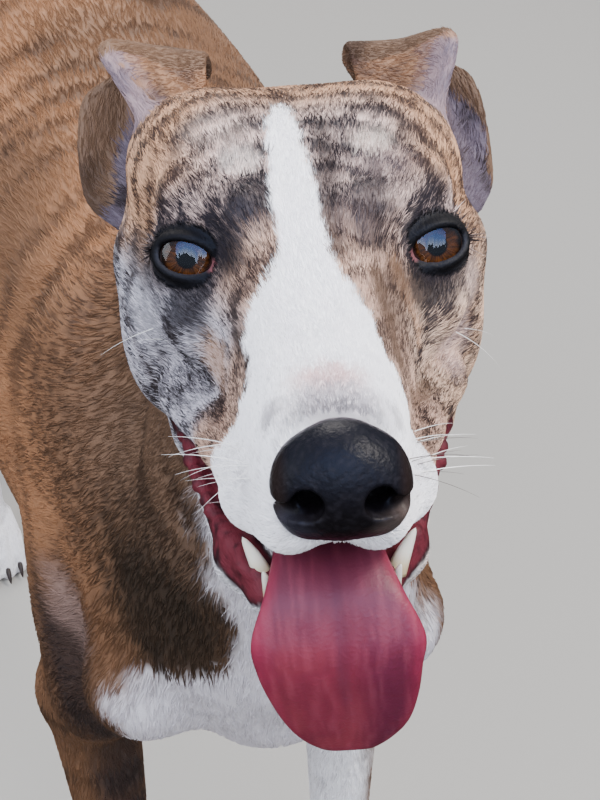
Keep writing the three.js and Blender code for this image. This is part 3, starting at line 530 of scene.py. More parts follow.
# %% Ear sheets
EARS = {
    1: (
        ((44, 52, 2), (41, 66, 12), (46, 84, 2), (60, 84, -22)),
        ((45, 60, 18), (45, 74, 22), (51, 96, 10), (66, 92, -12)),
        ((44, 66, 20), (52, 80, 40), (45, 104, 26), (60, 103, 19)),
        ((35, 84, 18), (37, 96, 33), (33, 110, 27), (40, 118, 16)),
        ((24, 97, 17), (20, 106, 31), (19, 114, 24), (23, 118, 16)),
    ),
    -1: (
        ((44, 52, 2), (41, 66, 12), (46, 84, 2), (61, 84, -22)),
        ((49, 60, 18), (50, 74, 24), (56, 96, 10), (73, 90, -11)),
        ((49, 66, 21), (63, 80, 41), (56, 104, 28), (71, 100, 19)),
        ((42, 84, 20), (48, 96, 35), (42, 110, 28), (52, 116, 15)),
        ((32, 97, 16), (31, 106, 30), (30, 114, 22), (36, 118, 14)),
    ),
}
EAR_HALF_THICKNESS = (3.0, 2.3, 1.9, 1.8, 1.7)
EAR_ROWS, EAR_COLUMNS = 33, 25


def ear_sheet(side):
    rows = np.array(EARS[side], float) * (side, 1, 1)
    across = np.array([curve_through(row, EAR_COLUMNS) for row in rows])
    return curve_through(across, EAR_ROWS)


def ear_field(side):
    sheet = ear_sheet(side)
    points = sheet.reshape(-1, 3)
    thick = np.interp(np.linspace(0, 4, EAR_ROWS), range(5), EAR_HALF_THICKNESS)
    faces, rows = [], []
    for i in range(EAR_ROWS - 1):
        for j in range(EAR_COLUMNS - 1):
            a = i * EAR_COLUMNS + j
            faces.append((a, a + 1, a + EAR_COLUMNS + 1, a + EAR_COLUMNS))
            rows.append((thick[i] + thick[i + 1]) / 2)
    tree = BVHTree.FromPolygons(points.tolist(), faces)
    rows = np.array(rows)

    def value(p):
        hits = [tree.find_nearest(q)[2:] for q in p.T.tolist()]
        where, far = np.array(hits).T
        return far - rows[where.astype(int)]

    return close_to(points.mean(0), 75, value)


ears_field = nearest(*both(ear_field))
head_shape = blend(4, face_field, ears_field)


# %% [markdown]
# ## One skin
# The skin lies inside the solids by the depth of the coat: 1.4 mm on the body, less on the legs and
# the paws, and hardly anything on the face, where the hair is shortest.

# %% Whole dog
HEAD_BALL = head_point((0, 0, 0)) + (0, 20, 0)


def coat_depth(p):
    """How far the skin lies below the coat's outline."""
    q = in_head(p)
    q[1] -= 30
    face = np.clip((np.sqrt((q**2).sum(0)) - 110) / 80, 0, 1)
    low = np.clip((p[2] - 60) / 300, 0, 1)
    return 0.4 + 1.0 * face * (0.35 + 0.65 * low)


def whole(p):
    body = soft_least(body_field(p), np.minimum.reduce([f(p) for f in paws]), 6)
    away = np.sqrt(((p - HEAD_BALL[:, None]) ** 2).sum(0))
    near = away < 200
    out = body
    if near.any():
        out[near] = soft_least(body[near], head_shape(in_head(p[:, near])), 12)
    return out


def skin_field(p):
    return np.maximum(whole(p) + coat_depth(p), -p[2])

# %% [markdown]
# ## Faceting the skin
# Cells are halved where finer detail is wanted: 0.8 mm at the eyes, 1.6 mm on the face and ears, 3 mm on
# the paws and the skull, 6 mm on the trunk. One vertex is set in each cell that the surface crosses, and
# each crossed edge makes a face between the cells round it. Coarse and fine cells share edges, so there is
# no seam.

# %% Cells and faces
FINEST = 0.78
COARSEST_LEVEL = 5
SPAN = 1 << 12


def slope_of(field, p, step=0.3):
    out = np.empty_like(p)
    for axis in range(3):
        shift = np.zeros((3, 1))
        shift[axis] = step
        out[axis] = (field(p + shift) - field(p - shift)) / (2 * step)
    return out


def onto(field, p, most, rounds=2):
    """Points moved onto the surface, each by no more than most."""
    start = p.copy()
    for _ in range(rounds):
        slope = slope_of(field, p)
        p = p - slope * (field(p) / np.maximum((slope * slope).sum(0), 0.05))
    shift = p - start
    far = np.sqrt((shift * shift).sum(0))
    return start + shift * np.minimum(1, most / np.maximum(far, 1e-9))


def key_of(cells):
    return (cells[..., 2] * SPAN + cells[..., 1]) * SPAN + cells[..., 0]


CORNERS = np.array([(i & 1, (i >> 1) & 1, (i >> 2) & 1) for i in range(8)])


def faceted(field, low, high, finest, wanted, coarsest=COARSEST_LEVEL):
    """Vertices and triangles of the field's surface, with cells of finest * 2 ** wanted(place)."""
    low = np.asarray(low, float)
    size = 1 << coarsest
    count = np.ceil((np.asarray(high) - low) / (finest * size)).astype(int)
    grid = np.stack(np.meshgrid(*[np.arange(n) for n in count], indexing="ij"), -1).reshape(-1, 3) * size
    leaves = {}
    for level in range(coarsest, -1, -1):
        size = 1 << level
        middle = (low + (grid + size / 2) * finest).T
        near = np.abs(field(middle)) < size * finest * 2.0
        grid, middle = grid[near], middle[:, near]
        split = wanted(middle) < level if level else np.zeros(len(grid), bool)
        if not split.all():
            leaves[level] = grid[~split]
        grid = (grid[split][:, None] + CORNERS * (size // 2)).reshape(-1, 3)
    cells = np.concatenate([leaves[k] for k in leaves])
    sizes = np.concatenate([np.full(len(leaves[k]), 1 << k) for k in leaves])
    order = {}
    first = 0
    for k in leaves:
        keys = key_of(leaves[k])
        rank = np.argsort(keys)
        order[k] = (keys[rank], rank + first)
        first += len(keys)

    starts, axes, lengths = [], [], []
    for axis in range(3):
        a, b = (axis + 1) % 3, (axis + 2) % 3
        for u, v in ((0, 0), (1, 0), (0, 1), (1, 1)):
            start = cells.copy()
            start[:, a] += u * sizes
            start[:, b] += v * sizes
            starts.append(start)
            axes.append(np.full(len(cells), axis))
            lengths.append(sizes)
    starts, axes, lengths = np.concatenate(starts), np.concatenate(axes), np.concatenate(lengths)
    tag = (key_of(starts) * 4 + axes) * 64 + lengths
    _, once = np.unique(tag, return_index=True)
    starts, axes, lengths = starts[once], axes[once], lengths[once]
    ends = starts.copy()
    ends[np.arange(len(ends)), axes] += lengths
    points, back = np.unique(np.concatenate([key_of(starts), key_of(ends)]), return_inverse=True)
    corner = np.stack([points % SPAN, points // SPAN % SPAN, points // SPAN // SPAN])
    found = field(low[:, None] + corner * finest)
    one, other = found[back[: len(starts)]], found[back[len(starts):]]
    crossed = (one < 0) != (other < 0)
    starts, axes, lengths = starts[crossed], axes[crossed], lengths[crossed]
    one, other = one[crossed], other[crossed]

    around = np.full((len(starts), 4), -1)
    for turn, (u, v) in enumerate(((-1, -1), (1, -1), (1, 1), (-1, 1))):
        probe = starts * 4
        rows = np.arange(len(starts))
        probe[rows, axes] += 1
        probe[rows, (axes + 1) % 3] += u
        probe[rows, (axes + 2) % 3] += v
        for k, (keys, rank) in order.items():
            home = key_of((probe // (4 << k)) * (1 << k))
            spot = np.minimum(np.searchsorted(keys, home), len(keys) - 1)
            hit = keys[spot] == home
            around[hit, turn] = rank[spot[hit]]
    whole_ring = (around >= 0).all(1)
    least = (sizes[np.maximum(around, 0)] >= lengths[:, None]).all(1)
    kept = whole_ring & least
    starts, axes, lengths, around = starts[kept], axes[kept], lengths[kept], around[kept]
    one, other = one[kept], other[kept]

    share = one / (one - other)
    cross = starts.astype(float)
    cross[np.arange(len(cross)), axes] += share * lengths
    total = np.zeros((len(cells), 4))
    for turn in range(4):
        mine = around[:, turn]
        # a ring may hold one large cell twice, which counts once
        fresh = mine != around[:, turn - 1]
        for axis in range(3):
            total[:, axis] += np.bincount(mine[fresh], cross[fresh, axis], len(cells))
        total[:, 3] += np.bincount(mine[fresh], minlength=len(cells))
    used = np.flatnonzero(total[:, 3])
    place = (low + total[used, :3] / total[used, 3:] * finest).T
    place = onto(field, place, sizes[used] * finest * 0.6)
    name = np.full(len(cells), -1)
    name[used] = np.arange(len(used))
    ring = name[around]
    ring[one > 0] = ring[one > 0][:, ::-1]
    p = place.T
    short = np.linalg.norm(p[ring[:, 0]] - p[ring[:, 2]], axis=1) < np.linalg.norm(
        p[ring[:, 1]] - p[ring[:, 3]], axis=1
    )
    tris = np.concatenate([
        ring[short][:, [0, 1, 2]], ring[short][:, [0, 2, 3]],
        ring[~short][:, [0, 1, 3]], ring[~short][:, [1, 2, 3]],
    ])
    flat = (tris[:, 0] == tris[:, 1]) | (tris[:, 1] == tris[:, 2]) | (tris[:, 2] == tris[:, 0])
    tris = tris[~flat]
    edges = np.concatenate([tris[:, [0, 1]], tris[:, [1, 2]], tris[:, [2, 0]]]).astype(np.int64)
    there, home = (edges @ ((len(p), 1), (1, len(p)))).T
    open_edges = int((~np.isin(there, home)).sum())
    print("faceted:", len(p), "vertices,", len(tris), "triangles,", open_edges, "open edges")
    return p, tris


def fineness(p):
    """Level of halving wanted at a place: 0 is the finest."""
    q = in_head(p)
    face = (q[1] < 30) & (q[1] > -135) & (np.abs(q[0]) < 60) & (q[2] > -95) & (q[2] < 45)
    ears = (q[1] > 45) & (q[1] < 130) & (np.abs(q[0]) > 12) & (np.abs(q[0]) < 80) & (q[2] > -32) & (q[2] < 55)
    skull = (np.abs(q[0]) < 80) & (q[1] < 110) & (q[2] > -110)
    low = (p[2] < 70) | ((p[1] > 455) & (p[2] < 250))
    middles = both(lambda s: (eye_seat(s) + eye_axes(s)[2] * 8)[:, None])
    eyes = np.minimum(*[((q - middle) ** 2).sum(0) for middle in middles])
    return np.where(eyes < 14**2, 0, np.where(face | ears, 1, np.where(skull | low, 2, 3)))


skin_points, skin_faces = faceted(skin_field, (-150, -600, -12), (150, 560, 960), FINEST, fineness)

# %% [markdown]
# ## Markings
# Brindle is tan hair crossed by broken dark stripes that run down from the spine. White lies over it in a
# blaze, on the muzzle, throat, chest and toes. One set of functions colours skin and coat alike: soft
# masks, strokes and spots in the dog's own measures, with edges broken up by noise as hairs break them.

# %% Noise and paint
def noise(p, size, seed=0):
    """Smooth random values from 0 to 1 at points in columns, with features of about that size."""
    q = p / size
    low = np.floor(q)
    f = q - low
    f = f * f * (3 - 2 * f)
    i = low.astype(np.int64) + 4096
    total = np.zeros(p.shape[1])
    for corner in CORNERS:
        n = (i[0] + corner[0]) * 374761393 + (i[1] + corner[1]) * 668265263 + (i[2] + corner[2]) * 2246822519
        n = (n + seed * 3266489917) & 0xFFFFFFFF
        n = ((n ^ (n >> 15)) * 2246822519) & 0xFFFFFFFF
        n = ((n ^ (n >> 13)) * 3266489917) & 0xFFFFFFFF
        n = n ^ (n >> 16)
        weight = np.ones(p.shape[1])
        for axis in range(3):
            weight *= f[axis] if corner[axis] else 1 - f[axis]
        total += weight * n
    return total / 0xFFFFFFFF


def ramp(low, high, x):
    t = np.clip((x - low) / (high - low), 0, 1)
    return t * t * (3 - 2 * t)


def tone(r, g, b):
    """A colour by its screen values, as the renderer's linear light."""
    c = np.array([r, g, b]) / 255
    return np.where(c < 0.04045, c / 12.92, ((c + 0.055) / 1.055) ** 2.4)


WHITE, GREY, DARK, BLACK = tone(244, 241, 244), tone(140, 132, 136), tone(38, 30, 30), tone(11, 9, 10)
TAN, BROWN, PINK = tone(162, 114, 80), tone(82, 60, 44), tone(214, 156, 150)
GUM = tone(140, 66, 70)


def paint(rgb, mask, colour):
    return rgb + mask[:, None] * (colour - rgb)


def layers(rgb, *coats):
    """Coats of paint laid on in turn, each a share, its mask and a screen colour."""
    for share, mask, colour in coats:
        rgb = paint(rgb, share * mask, tone(*colour))
    return rgb


def stroke(q, places, width, soft):
    """A soft line of that width through places, strongest along its middle."""
    away = chain(*[(p, 0) for p in places])(q)
    return 1 - ramp(width * 0.5 - soft * 0.5, width * 0.5 + soft, away)


def spot(q, centre, radii, soft=0.35):
    near = np.sqrt((((q - np.array(centre, float)[:, None]) / np.array(radii, float)[:, None]) ** 2).sum(0))
    return 1 - ramp(1 - soft, 1 + soft, near)


# %% Body markings
STRIPE_SPACING, FACE_ARC_SPACING = 34, 8.4


def neck_share(p):
    return ramp(-200, -290, p[1]) * ramp(560, 640, p[2])


def leg_share(p):
    inner = np.abs(p[0])
    return np.maximum(ramp(36, 52, inner) * ramp(500, 420, p[2]), ramp(372, 340, p[2]))


def body_colour(p, fine):
    neck, leg = neck_share(p), leg_share(p)
    down = p[1] - 0.3 * (p[2] - 600)
    place = down * (1 - neck) * (1 - leg)
    place = place + leg * (p[2] * 1.05 + 0.3 * p[1]) + neck * (0.8 * p[2] - 0.6 * p[1])
    place = place + 62 * noise(p, 95, 1) + 24 * noise(p, 33, 2) + 7 * noise(p, 9, 6)
    wave = np.sin(2 * np.pi * place / STRIPE_SPACING)
    broken = noise(p, 46, 3) - 0.5
    stripes = ramp(0.1, 1.0, wave + 2.0 * broken + 0.5 * (fine - 0.5))
    # low on the forequarters and over the neck the coat is painted darker brown: partly its own colour,
    # partly painted shade
    low = np.maximum(ramp(600, 420, p[2]) * ramp(-120, -230, p[1]), 0.75 * neck)
    blotch = np.maximum(ramp(0.4, 0.75, noise(p, 95, 4)), low)
    rgb = paint(TAN, 0.68 * blotch, BROWN)
    flecks = ramp(0.6, 0.9, noise(p, 11, 5) * 0.7 + fine * 0.3)
    # the neck's duller, darker brown is partly its own coat and partly painted shade
    return layers(rgb, (0.7, neck, (104, 84, 70)), (0.62, stripes, (48, 35, 28)), (0.3, flecks, (58, 48, 44)))


CHEST_WHITE = ((440, -70, 70), (480, -74, 74), (515, -86, 86), (540, -64, 78), (560, -40, 62), (588, -33, 50),
               (611, -40, 44), (650, -44, 42), (720, -34, 36), (790, -34, 36))


def body_white(p):
    """Share of white on throat, chest, belly, toes and the tip of the tail."""
    left, right = through(CHEST_WHITE, p[2], [1, 2])
    middle = np.interp(p[2], (560, 640, 790), (0, 0, -14))
    side = np.minimum(p[0] - middle - left, right - (p[0] - middle))
    ahead = ramp(0, -26, p[1] - np.interp(p[2], (430, 520, 600, 700, 800), (-262, -302, -318, -352, -392)))
    chest = ramp(-4, 4, side) * ahead * ramp(425, 445, p[2])
    keel = np.interp(p[1], (-260, -60, 120, 260), (402, 386, 500, 560))
    belly = ramp(34, 22, np.abs(p[0])) * ramp(14, -6, p[2] - keel) * ramp(300, 200, p[1])
    fore = p[1] < -100
    top = np.where(fore, np.where(p[0] > 0, 330, 78), np.where(p[0] > 0, 58, 96))
    inner = np.where(fore & (p[0] > 0) & (p[2] > 90), ramp(94, 76, p[0]) * ramp(-186, -206, p[1]), 1)
    socks = ramp(8, -8, p[2] - top) * inner
    tip = ramp(486, 500, p[1]) * ramp(260, 220, p[2])
    return np.maximum.reduce([chest, belly, socks, tip])


# share, centre, radii, softness and colour of patches on the dog's right chest, upper arm and foreleg: the
# three dark ones are partly dark coat and partly painted shade, the pale one on the shoulder's outer side is
# partly tan coat and partly a painted highlight
BODY_SPOTS_AND_PAINTED_LIGHT = (
    (0.85, (-60, -336, 582), (26, 60, 44), 0.5, (44, 37, 30)),
    (0.8, (-84, -262, 480), (24, 40, 62), 0.45, (44, 38, 40)),
    (0.7, (-68, -226, 330), (16, 14, 120), 0.4, (46, 40, 42)),
    (0.7, (-92, -262, 524), (14, 26, 17), 0.5, (150, 122, 112)),
)


def body_paint(p, fine):
    rough = p.copy()
    for axis, seed in ((0, 11), (1, 12), (2, 13)):
        rough[axis] += 9 * (noise(p, 13, seed) - 0.5) + 5 * (noise(p, 3.5, seed + 4) - 0.5) + 3 * (fine - 0.5)
    rgb = body_colour(p, fine)
    for share, centre, radii, soft, colour in BODY_SPOTS_AND_PAINTED_LIGHT:
        rgb = paint(rgb, share * spot(rough, centre, radii, soft), tone(*colour))
    ticks = ramp(0.62, 0.78, noise(p, 4.5, 21) * 0.6 + fine * 0.4)
    # the white is painted greyer higher up, on the belly, chest and throat: painted shade
    rgb = paint(rgb, body_white(rough), paint(WHITE, ramp(380, 440, p[2]), tone(214, 208, 214)))
    return paint(rgb, 0.45 * ticks * body_white(p), GREY)


# %% Face markings
# y along the muzzle, and the left and right edges of the blaze
BLAZE = (
    (-130, -60, 60), (-82, -44, 44), (-76, -34, 25), (-70, -23, 18.5), (-64, -19.6, 16.2), (-56, -20, 14.8),
    (-48, -21, 12), (-40, -18.2, 8.4), (-34, -13, 6), (-26, -10, 3.8), (-16, -10.3, 3.4), (-6, -12, 2.4),
    (8, -11.3, 0), (25, -11.7, -1.9), (38, -9.6, -3.6), (46, -6.4, -5.8),
)


def face_white(q):
    y = q[1] + np.where(q[0] < 0, -0.6, 0.15) * np.clip(-12 - q[2], 0, 16)
    left, right = through(BLAZE, y, [1, 2])
    inside = np.minimum(q[0] - left, right - q[0])
    return ramp(-0.7, 0.9, inside) * ramp(48, 44, q[1]) * ramp(-72, -60, q[2])


def mouth_lining(q):
    """1 where the skin is the wet lining of the mouth."""
    straight = without_lean(q)
    return ramp(2.0, 0.8, np.minimum(palate_field(straight), jaw_hollow(straight)))


def lip_distance(q):
    straight = without_lean(q)
    return np.minimum.reduce([chain(*[(p, 0) for p in lip_edge(s, 14)])(straight) for s in (1, -1)])


def lip_width(q):
    """How far the bare lip reaches from its edge: widest in front, where it turns outward."""
    return np.interp(q[1], (-88, -66, -30), (7.0, 6.0, 4.2))


LID_RING = [*range(20), 0]


def lid_distance(q):
    """Distance to the nearer eye's rim, and to the nearer eye's middle."""
    rims = both(lambda s: chain(*[(p, 0) for p in lid_edge(s, 1.06, 12.0, 20)[LID_RING]]))
    middles = both(lambda s: ball(eye_seat(s) + eye_axes(s)[2] * 9, 0))
    return nearest(*rims)(q), nearest(*middles)(q)


def face_paint(q, fine):
    rough = q.copy()
    rough[1] += 5.5 * (noise(q, 1.5, 31) - 0.5) + 2.5 * (fine - 0.5)
    rough[0] += 2.4 * (noise(q, 2.6, 32) - 0.5)
    rough[2] += 2.4 * (noise(q, 2.6, 33) - 0.5)
    marble = noise(rough, 7, 34)
    speck = noise(q, 1.7, 35) * 0.5 + fine * 0.5
    left = ramp(4, -4, q[0])
    # the skull: pale and dark hairs mixed, cool by the blaze and the eyes, tan at the rim, crossed by arcs
    rim, middle = lid_distance(q)
    warm = np.clip(ramp(22, 44, np.abs(q[0] + 2)) * ramp(14, 26, middle) + ramp(26, 60, q[1]), 0, 1)
    warm = np.maximum(warm, ramp(-8, -26, q[1]) * 0.55)
    light = paint(tone(200, 174, 166), warm, tone(192, 148, 116))
    shade = paint(tone(36, 30, 34), warm, tone(60, 42, 34))
    arc = np.sqrt((np.abs(q[0] + 3) - 6) ** 2 + ((q[1] + 34) * 0.62) ** 2 + (q[2] - 14) ** 2)
    wave = np.sin(2 * np.pi * (arc + 5 * noise(q, 16, 36)) / FACE_ARC_SPACING) * ramp(-16, 4, q[1])
    hairs = 0.50 * fine + 0.34 * marble + 0.16 * speck - 0.12 * wave - 0.14 * ramp(20, 11, middle)
    rgb = paint(shade, ramp(0.34, 0.72, hairs), light)
    # cheeks: white and grey hairs mixed with dark ones
    cheek = ramp(2, -14, q[2]) * ramp(-52, -36, q[1]) * ramp(70, 40, q[1])
    mixed = ramp(0.36, 0.72, 0.4 * marble + 0.25 * speck + 0.35 * fine)
    pale = paint(tone(214, 184, 162), left, tone(190, 186, 196))
    mix = paint(tone(38, 32, 34), mixed, pale)
    rgb = paint(rgb, cheek * (0.6 + 0.35 * left), mix)
    # the muzzle's sides: brown brindle on its left, darker by the blaze on its right
    for places, width, share, colour in FACE_STROKES:
        rgb = paint(rgb, share * stroke(rough, places, width, STROKE_SOFT) * ramp(0.1, 0.42, speck), colour)
    for centre, radii, share, colour in FACE_SPOTS:
        rgb = paint(rgb, share * spot(rough, centre, radii, 0.5) * ramp(0.08, 0.4, speck), colour)
    # the blaze and the white muzzle
    white = face_white(rough)
    rgb = paint(rgb, white, WHITE)
    bare = ramp(-62, -92, q[1]) * white
    rgb = paint(rgb, 0.34 * bare * ramp(0.60, 0.75, speck), GREY)
    for centre, radii, share, colour in MUZZLE_SPOTS:
        rgb = paint(rgb, share * spot(rough, centre, radii, 0.6), colour)
    # chin and the lower jaw's sides
    jaw = ramp(-54, -60, q[2]) * ramp(30, 0, q[1])
    rgb = paint(rgb, jaw * 0.85, mix * 0.5 + WHITE * 0.5)
    # black lids, and a dark haze round them that is widest above the inner corners
    haze = ramp(8.5, 2.5, rim + 3.0 * (speck - 0.5) - 2.6 * ramp(30, 20, np.abs(q[0])))
    rgb = paint(rgb, 0.8 * haze, tone(44, 38, 42))
    return paint(rgb, ramp(4.8, 3.2, rim + 1.4 * (speck - 0.5)), BLACK)


STROKE_SOFT = 2.2
FACE_STROKES = (
    (((5.5, 27, 28), (6, 8, 24.5), (5, -10, 19), (6, -30, 10)), 5.5, 0.7, DARK),
    (((12, 22, 27), (13, 2, 24), (14, -12, 18), (13, -26, 9)), 3.2, 0.6, tone(46, 40, 42)),
    (((19, 8, 25), (18.5, -8, 22), (18, -24, 9)), 5.0, 0.7, DARK),
    (((14.5, 53, 30), (29.5, 27.6, 26), (38.7, 1.8, 15.5), (40.6, -7, 8)), 3.6, 0.85, DARK),
    (((24, 56, 27), (38, 34, 22), (46, 10, 10), (47, -4, 0)), 2.6, 0.7, tone(188, 140, 104)),
    (((-24, 52, 29), (-36, 30, 26), (-43, 6, 15), (-44, -3, 9)), 3.0, 0.8, DARK),
    (((-32, 58, 26), (-44, 36, 22), (-49, 14, 10)), 3.0, 0.7, DARK),
    (((-16, 40, 29), (-22, 20, 27), (-26, 4, 22)), 2.6, 0.6, DARK),
    (((-22, -32, 0), (-24, -42, -8), (-20.8, -58, -7.6), (-21.5, -68, -12)), 4.2, 0.9, DARK),
    (((-36, -20, -12), (-30, -34, -14), (-27, -48, -14)), 4.0, 0.6, tone(56, 46, 42)),
    (((22.5, -27, 3), (26, -33, -8), (29, -34, -17)), 4.5, 0.55, tone(176, 134, 104)),
    (((16, -34, 4), (20, -50, -4), (22, -64, -10)), 4.5, 0.7, BROWN),
    (((22, -60, -20), (27, -48, -28), (32, -34, -30)), 5.0, 0.6, BROWN),
)
FACE_SPOTS = (
    ((-15, -9, 21.5), (8.5, 13, 9), 0.85, tone(36, 32, 36)),
    ((-24.5, -17.5, 6), (6.5, 10, 9), 0.9, tone(24, 21, 26)),
    ((-20, -16, 16), (6, 8, 6), 0.6, tone(40, 36, 42)),
    ((12, -19, 14), (6, 9, 7), 0.5, tone(66, 56, 60)),
    ((23, 4, 23.5), (9, 10, 7), 0.5, tone(84, 72, 78)),
    ((19, -12, 20), (7, 8, 7), 0.5, tone(52, 46, 50)),
    ((-27, 27, 29), (10, 9, 8), 0.22, tone(214, 190, 178)),
    ((-51, 10, -7), (8, 14, 10), 0.55, tone(56, 46, 42)),
    ((21, -53, -8), (7, 16, 10), 0.45, tone(78, 58, 46)),
    ((-20, 10, 24), (6, 7, 6), 0.6, tone(214, 200, 194)),
    ((20, 17, 25.5), (6, 6, 6), 0.6, tone(206, 190, 180)),
    ((-29, -34, -20), (5.5, 11, 7), 0.6, tone(176, 134, 104)),
    ((-37, -19, -9), (10, 9, 7), 0.85, tone(34, 31, 36)),
    ((31, -22, -6), (10, 10, 7), 0.9, tone(26, 22, 23)),
    ((41, -12, -29), (8, 12, 9), 0.55, tone(214, 184, 178)),
    ((44, 4, -14), (8, 12, 8), 0.45, tone(214, 186, 176)),
    ((-50, 2, -20), (9, 14, 10), 0.45, tone(206, 202, 212)),
    ((21, -34, 0), (6, 14, 7), 0.55, tone(66, 50, 40)),
    ((-47, -1, -5), (8, 9, 8), 0.6, tone(50, 42, 42)),
    ((38, -14, -8), (9, 8, 6), 0.7, tone(40, 34, 36)),
)
MUZZLE_SPOTS = (
    ((0, -87, 0), (9, 6, 8), 0.5, PINK),
    ((1.5, -97, -3), (13, 6.5, 9), 0.55, tone(142, 126, 134)),
    ((1.5, -103.5, -4), (13, 4.5, 9), 0.65, tone(76, 69, 76)),
    ((-15.5, -94, -8), (3.4, 4.5, 5), 0.6, GREY),
    ((17.5, -95, -9), (3, 4, 5), 0.55, GREY),
    ((-19, -92, -30), (5, 8, 6), 0.35, GREY),
)


# %% Whole coat
ear_places = np.concatenate([ear_sheet(s)[::2, ::2].reshape(-1, 3) for s in (1, -1)])
ear_ways = np.concatenate([unit(np.gradient(ear_sheet(s), axis=0))[::2, ::2].reshape(-1, 3) for s in (1, -1)])
ear_rows, ear_columns = np.meshgrid(np.linspace(0, 4, EAR_ROWS)[::2], np.linspace(0, 3, EAR_COLUMNS)[::2],
                                    indexing="ij")
ear_rows, ear_columns = np.tile(ear_rows.ravel(), 2), np.tile(ear_columns.ravel(), 2)


def on_ear(q):
    """Share of ear at places in the head's frame, the way its leather runs there, and its row and column."""
    share, way, home = np.zeros(q.shape[1]), np.zeros((3, q.shape[1])), np.zeros((2, q.shape[1]))
    near = np.flatnonzero((q[1] > 44) & (q[1] < 130) & (np.abs(q[0]) > 10) & (q[2] > -36) & (q[2] < 56))
    for part in np.array_split(near, 40):
        gap = ((q[:, part].T[:, None] - ear_places) ** 2).sum(-1)
        share[part] = ramp(7.5, 4.5, np.sqrt(gap.min(1)))
        nearest_place = gap.argmin(1)
        way[:, part] = ear_ways[nearest_place].T
        home[:, part] = ear_rows[nearest_place], ear_columns[nearest_place]
    return share, way, home


EAR_TAN, EAR_BROWN = tone(158, 118, 90), tone(84, 64, 56)
EAR_LILAC, EAR_GREY, EAR_DARK = tone(146, 124, 130), tone(98, 88, 102), tone(38, 33, 40)
head_reach = limb((0, -90, -22), 0, (0, 20, -10), 0)


def coat_colour(p, fine):
    """Linear colours, in rows, of skin or hair at places in columns; fine is one random value for each."""
    q = in_head(p)
    face = ramp(96, 70, head_reach(q) + 16 * (noise(p, 20, 41) - 0.5))
    rgb = np.empty((p.shape[1], 3))
    near = face > 0
    rgb[~near] = body_paint(p[:, ~near], fine[~near])
    if near.any():
        head = face_paint(q[:, near], fine[near])
        share = face[near][:, None]
        rgb[near] = body_paint(p[:, near], fine[near]) * (1 - share) + head * share
        ear, _, (row, column) = on_ear(q[:, near])
        patches = noise(p[:, near], 9, 43) * 0.6 + fine[near] * 0.4
        ear_hair = paint(EAR_TAN, ramp(0.4, 0.75, patches), EAR_BROWN)
        fold = ramp(1.1, 0.7, column) * ramp(2.7, 2.2, row)
        ear_hair = paint(ear_hair, fold, paint(EAR_LILAC, ramp(0.4, 0.8, patches), EAR_GREY))
        inside = ramp(1.5, 2.1, column) * ramp(2.4, 1.9, row)
        ear_hair = paint(ear_hair, inside, paint(EAR_GREY, ramp(0.45, 0.7, patches), EAR_DARK))
        rgb[near] = paint(rgb[near], 0.9 * ear, ear_hair)
    return rgb * (1 + 0.16 * (fine[:, None] - 0.5))


print("markings ready")

# %% [markdown]
# ## Short coat
# A greyhound's hair is 3 to 15 mm long and lies flat, combed from the nose over the skull, down the neck
# and back along the trunk, and down the legs. Each tuft is a thin closed sliver: two roots, a ridge and a
# tip bent down to the body. They overlap like shingles, and are smallest on the muzzle, ears and feet.

# %% Lie of the coat
tail_along = unit(np.gradient(tail_line, axis=0))


def lie_of_coat(p, q):
    """The way hair points, in the dog's frame."""
    nose = np.array([1.3, -124, -26.0])[:, None]
    ears, way, _ = on_ear(q)
    head = unit(q - nose, 0) * (1 - ears) + way * ears
    head = HEAD_AXES @ head
    neck, leg = neck_share(p), leg_share(p)
    n = p.shape[1]
    drop = -0.25 - 0.5 * ramp(700, 560, p[2]) * ramp(20, 80, np.abs(p[0]))
    trunk = np.stack([np.zeros(n), np.ones(n), drop])
    front = ramp(-262, -318, p[1])
    trunk = trunk * (1 - front) + np.array([0, 0.1, -1.0])[:, None] * front
    body = trunk * (1 - neck) + np.array([0, 0.5, -0.86])[:, None] * neck
    body = body * (1 - leg) + np.array([0, 0.12, -1.0])[:, None] * leg
    paw_share = ramp(58, 34, p[2])
    body = body * (1 - paw_share) + np.array([0, -0.9, -0.45])[:, None] * paw_share
    on_tail = (p[1] > 380) & (np.abs(p[0]) < 34)
    if on_tail.any():
        away = ((p[:, on_tail].T[:, None] - tail_line) ** 2).sum(-1)
        body[:, on_tail] = tail_along[away.argmin(1)].T
    share = np.maximum(ramp(104, 72, head_reach(q)), ears)
    out = unit(body, 0) * (1 - share) + head * share
    swirl = np.stack([noise(p, 24, 51 + k) - 0.5 for k in range(3)])
    return unit(out + 0.35 * swirl, 0)


def bare(p, q):
    """1 where no hair grows: mouth, lips, lids and nose leather."""
    rim, middle = lid_distance(q)
    lids_bare = ramp(3.2, 2.6, rim)
    fringe = ramp(1.0, 0.2, lip_distance(q) - lip_width(q))
    nose_pad = ramp(1.0, 0.2, egg((1.3, -110.5, -16.2), (15.6, 13.5, 15.8))(q))
    sole = ramp(3, 1, p[2])
    return np.maximum.reduce([lids_bare, fringe, mouth_lining(q), nose_pad, sole])


# length of hair and width of tufts in millimetres, and how many deep they cover the skin
BODY_HAIR, FACE_HAIR, BODY_TUFT, FACE_TUFT, COVER = 10.5, 5.4, 1.35, 0.74, 1.9


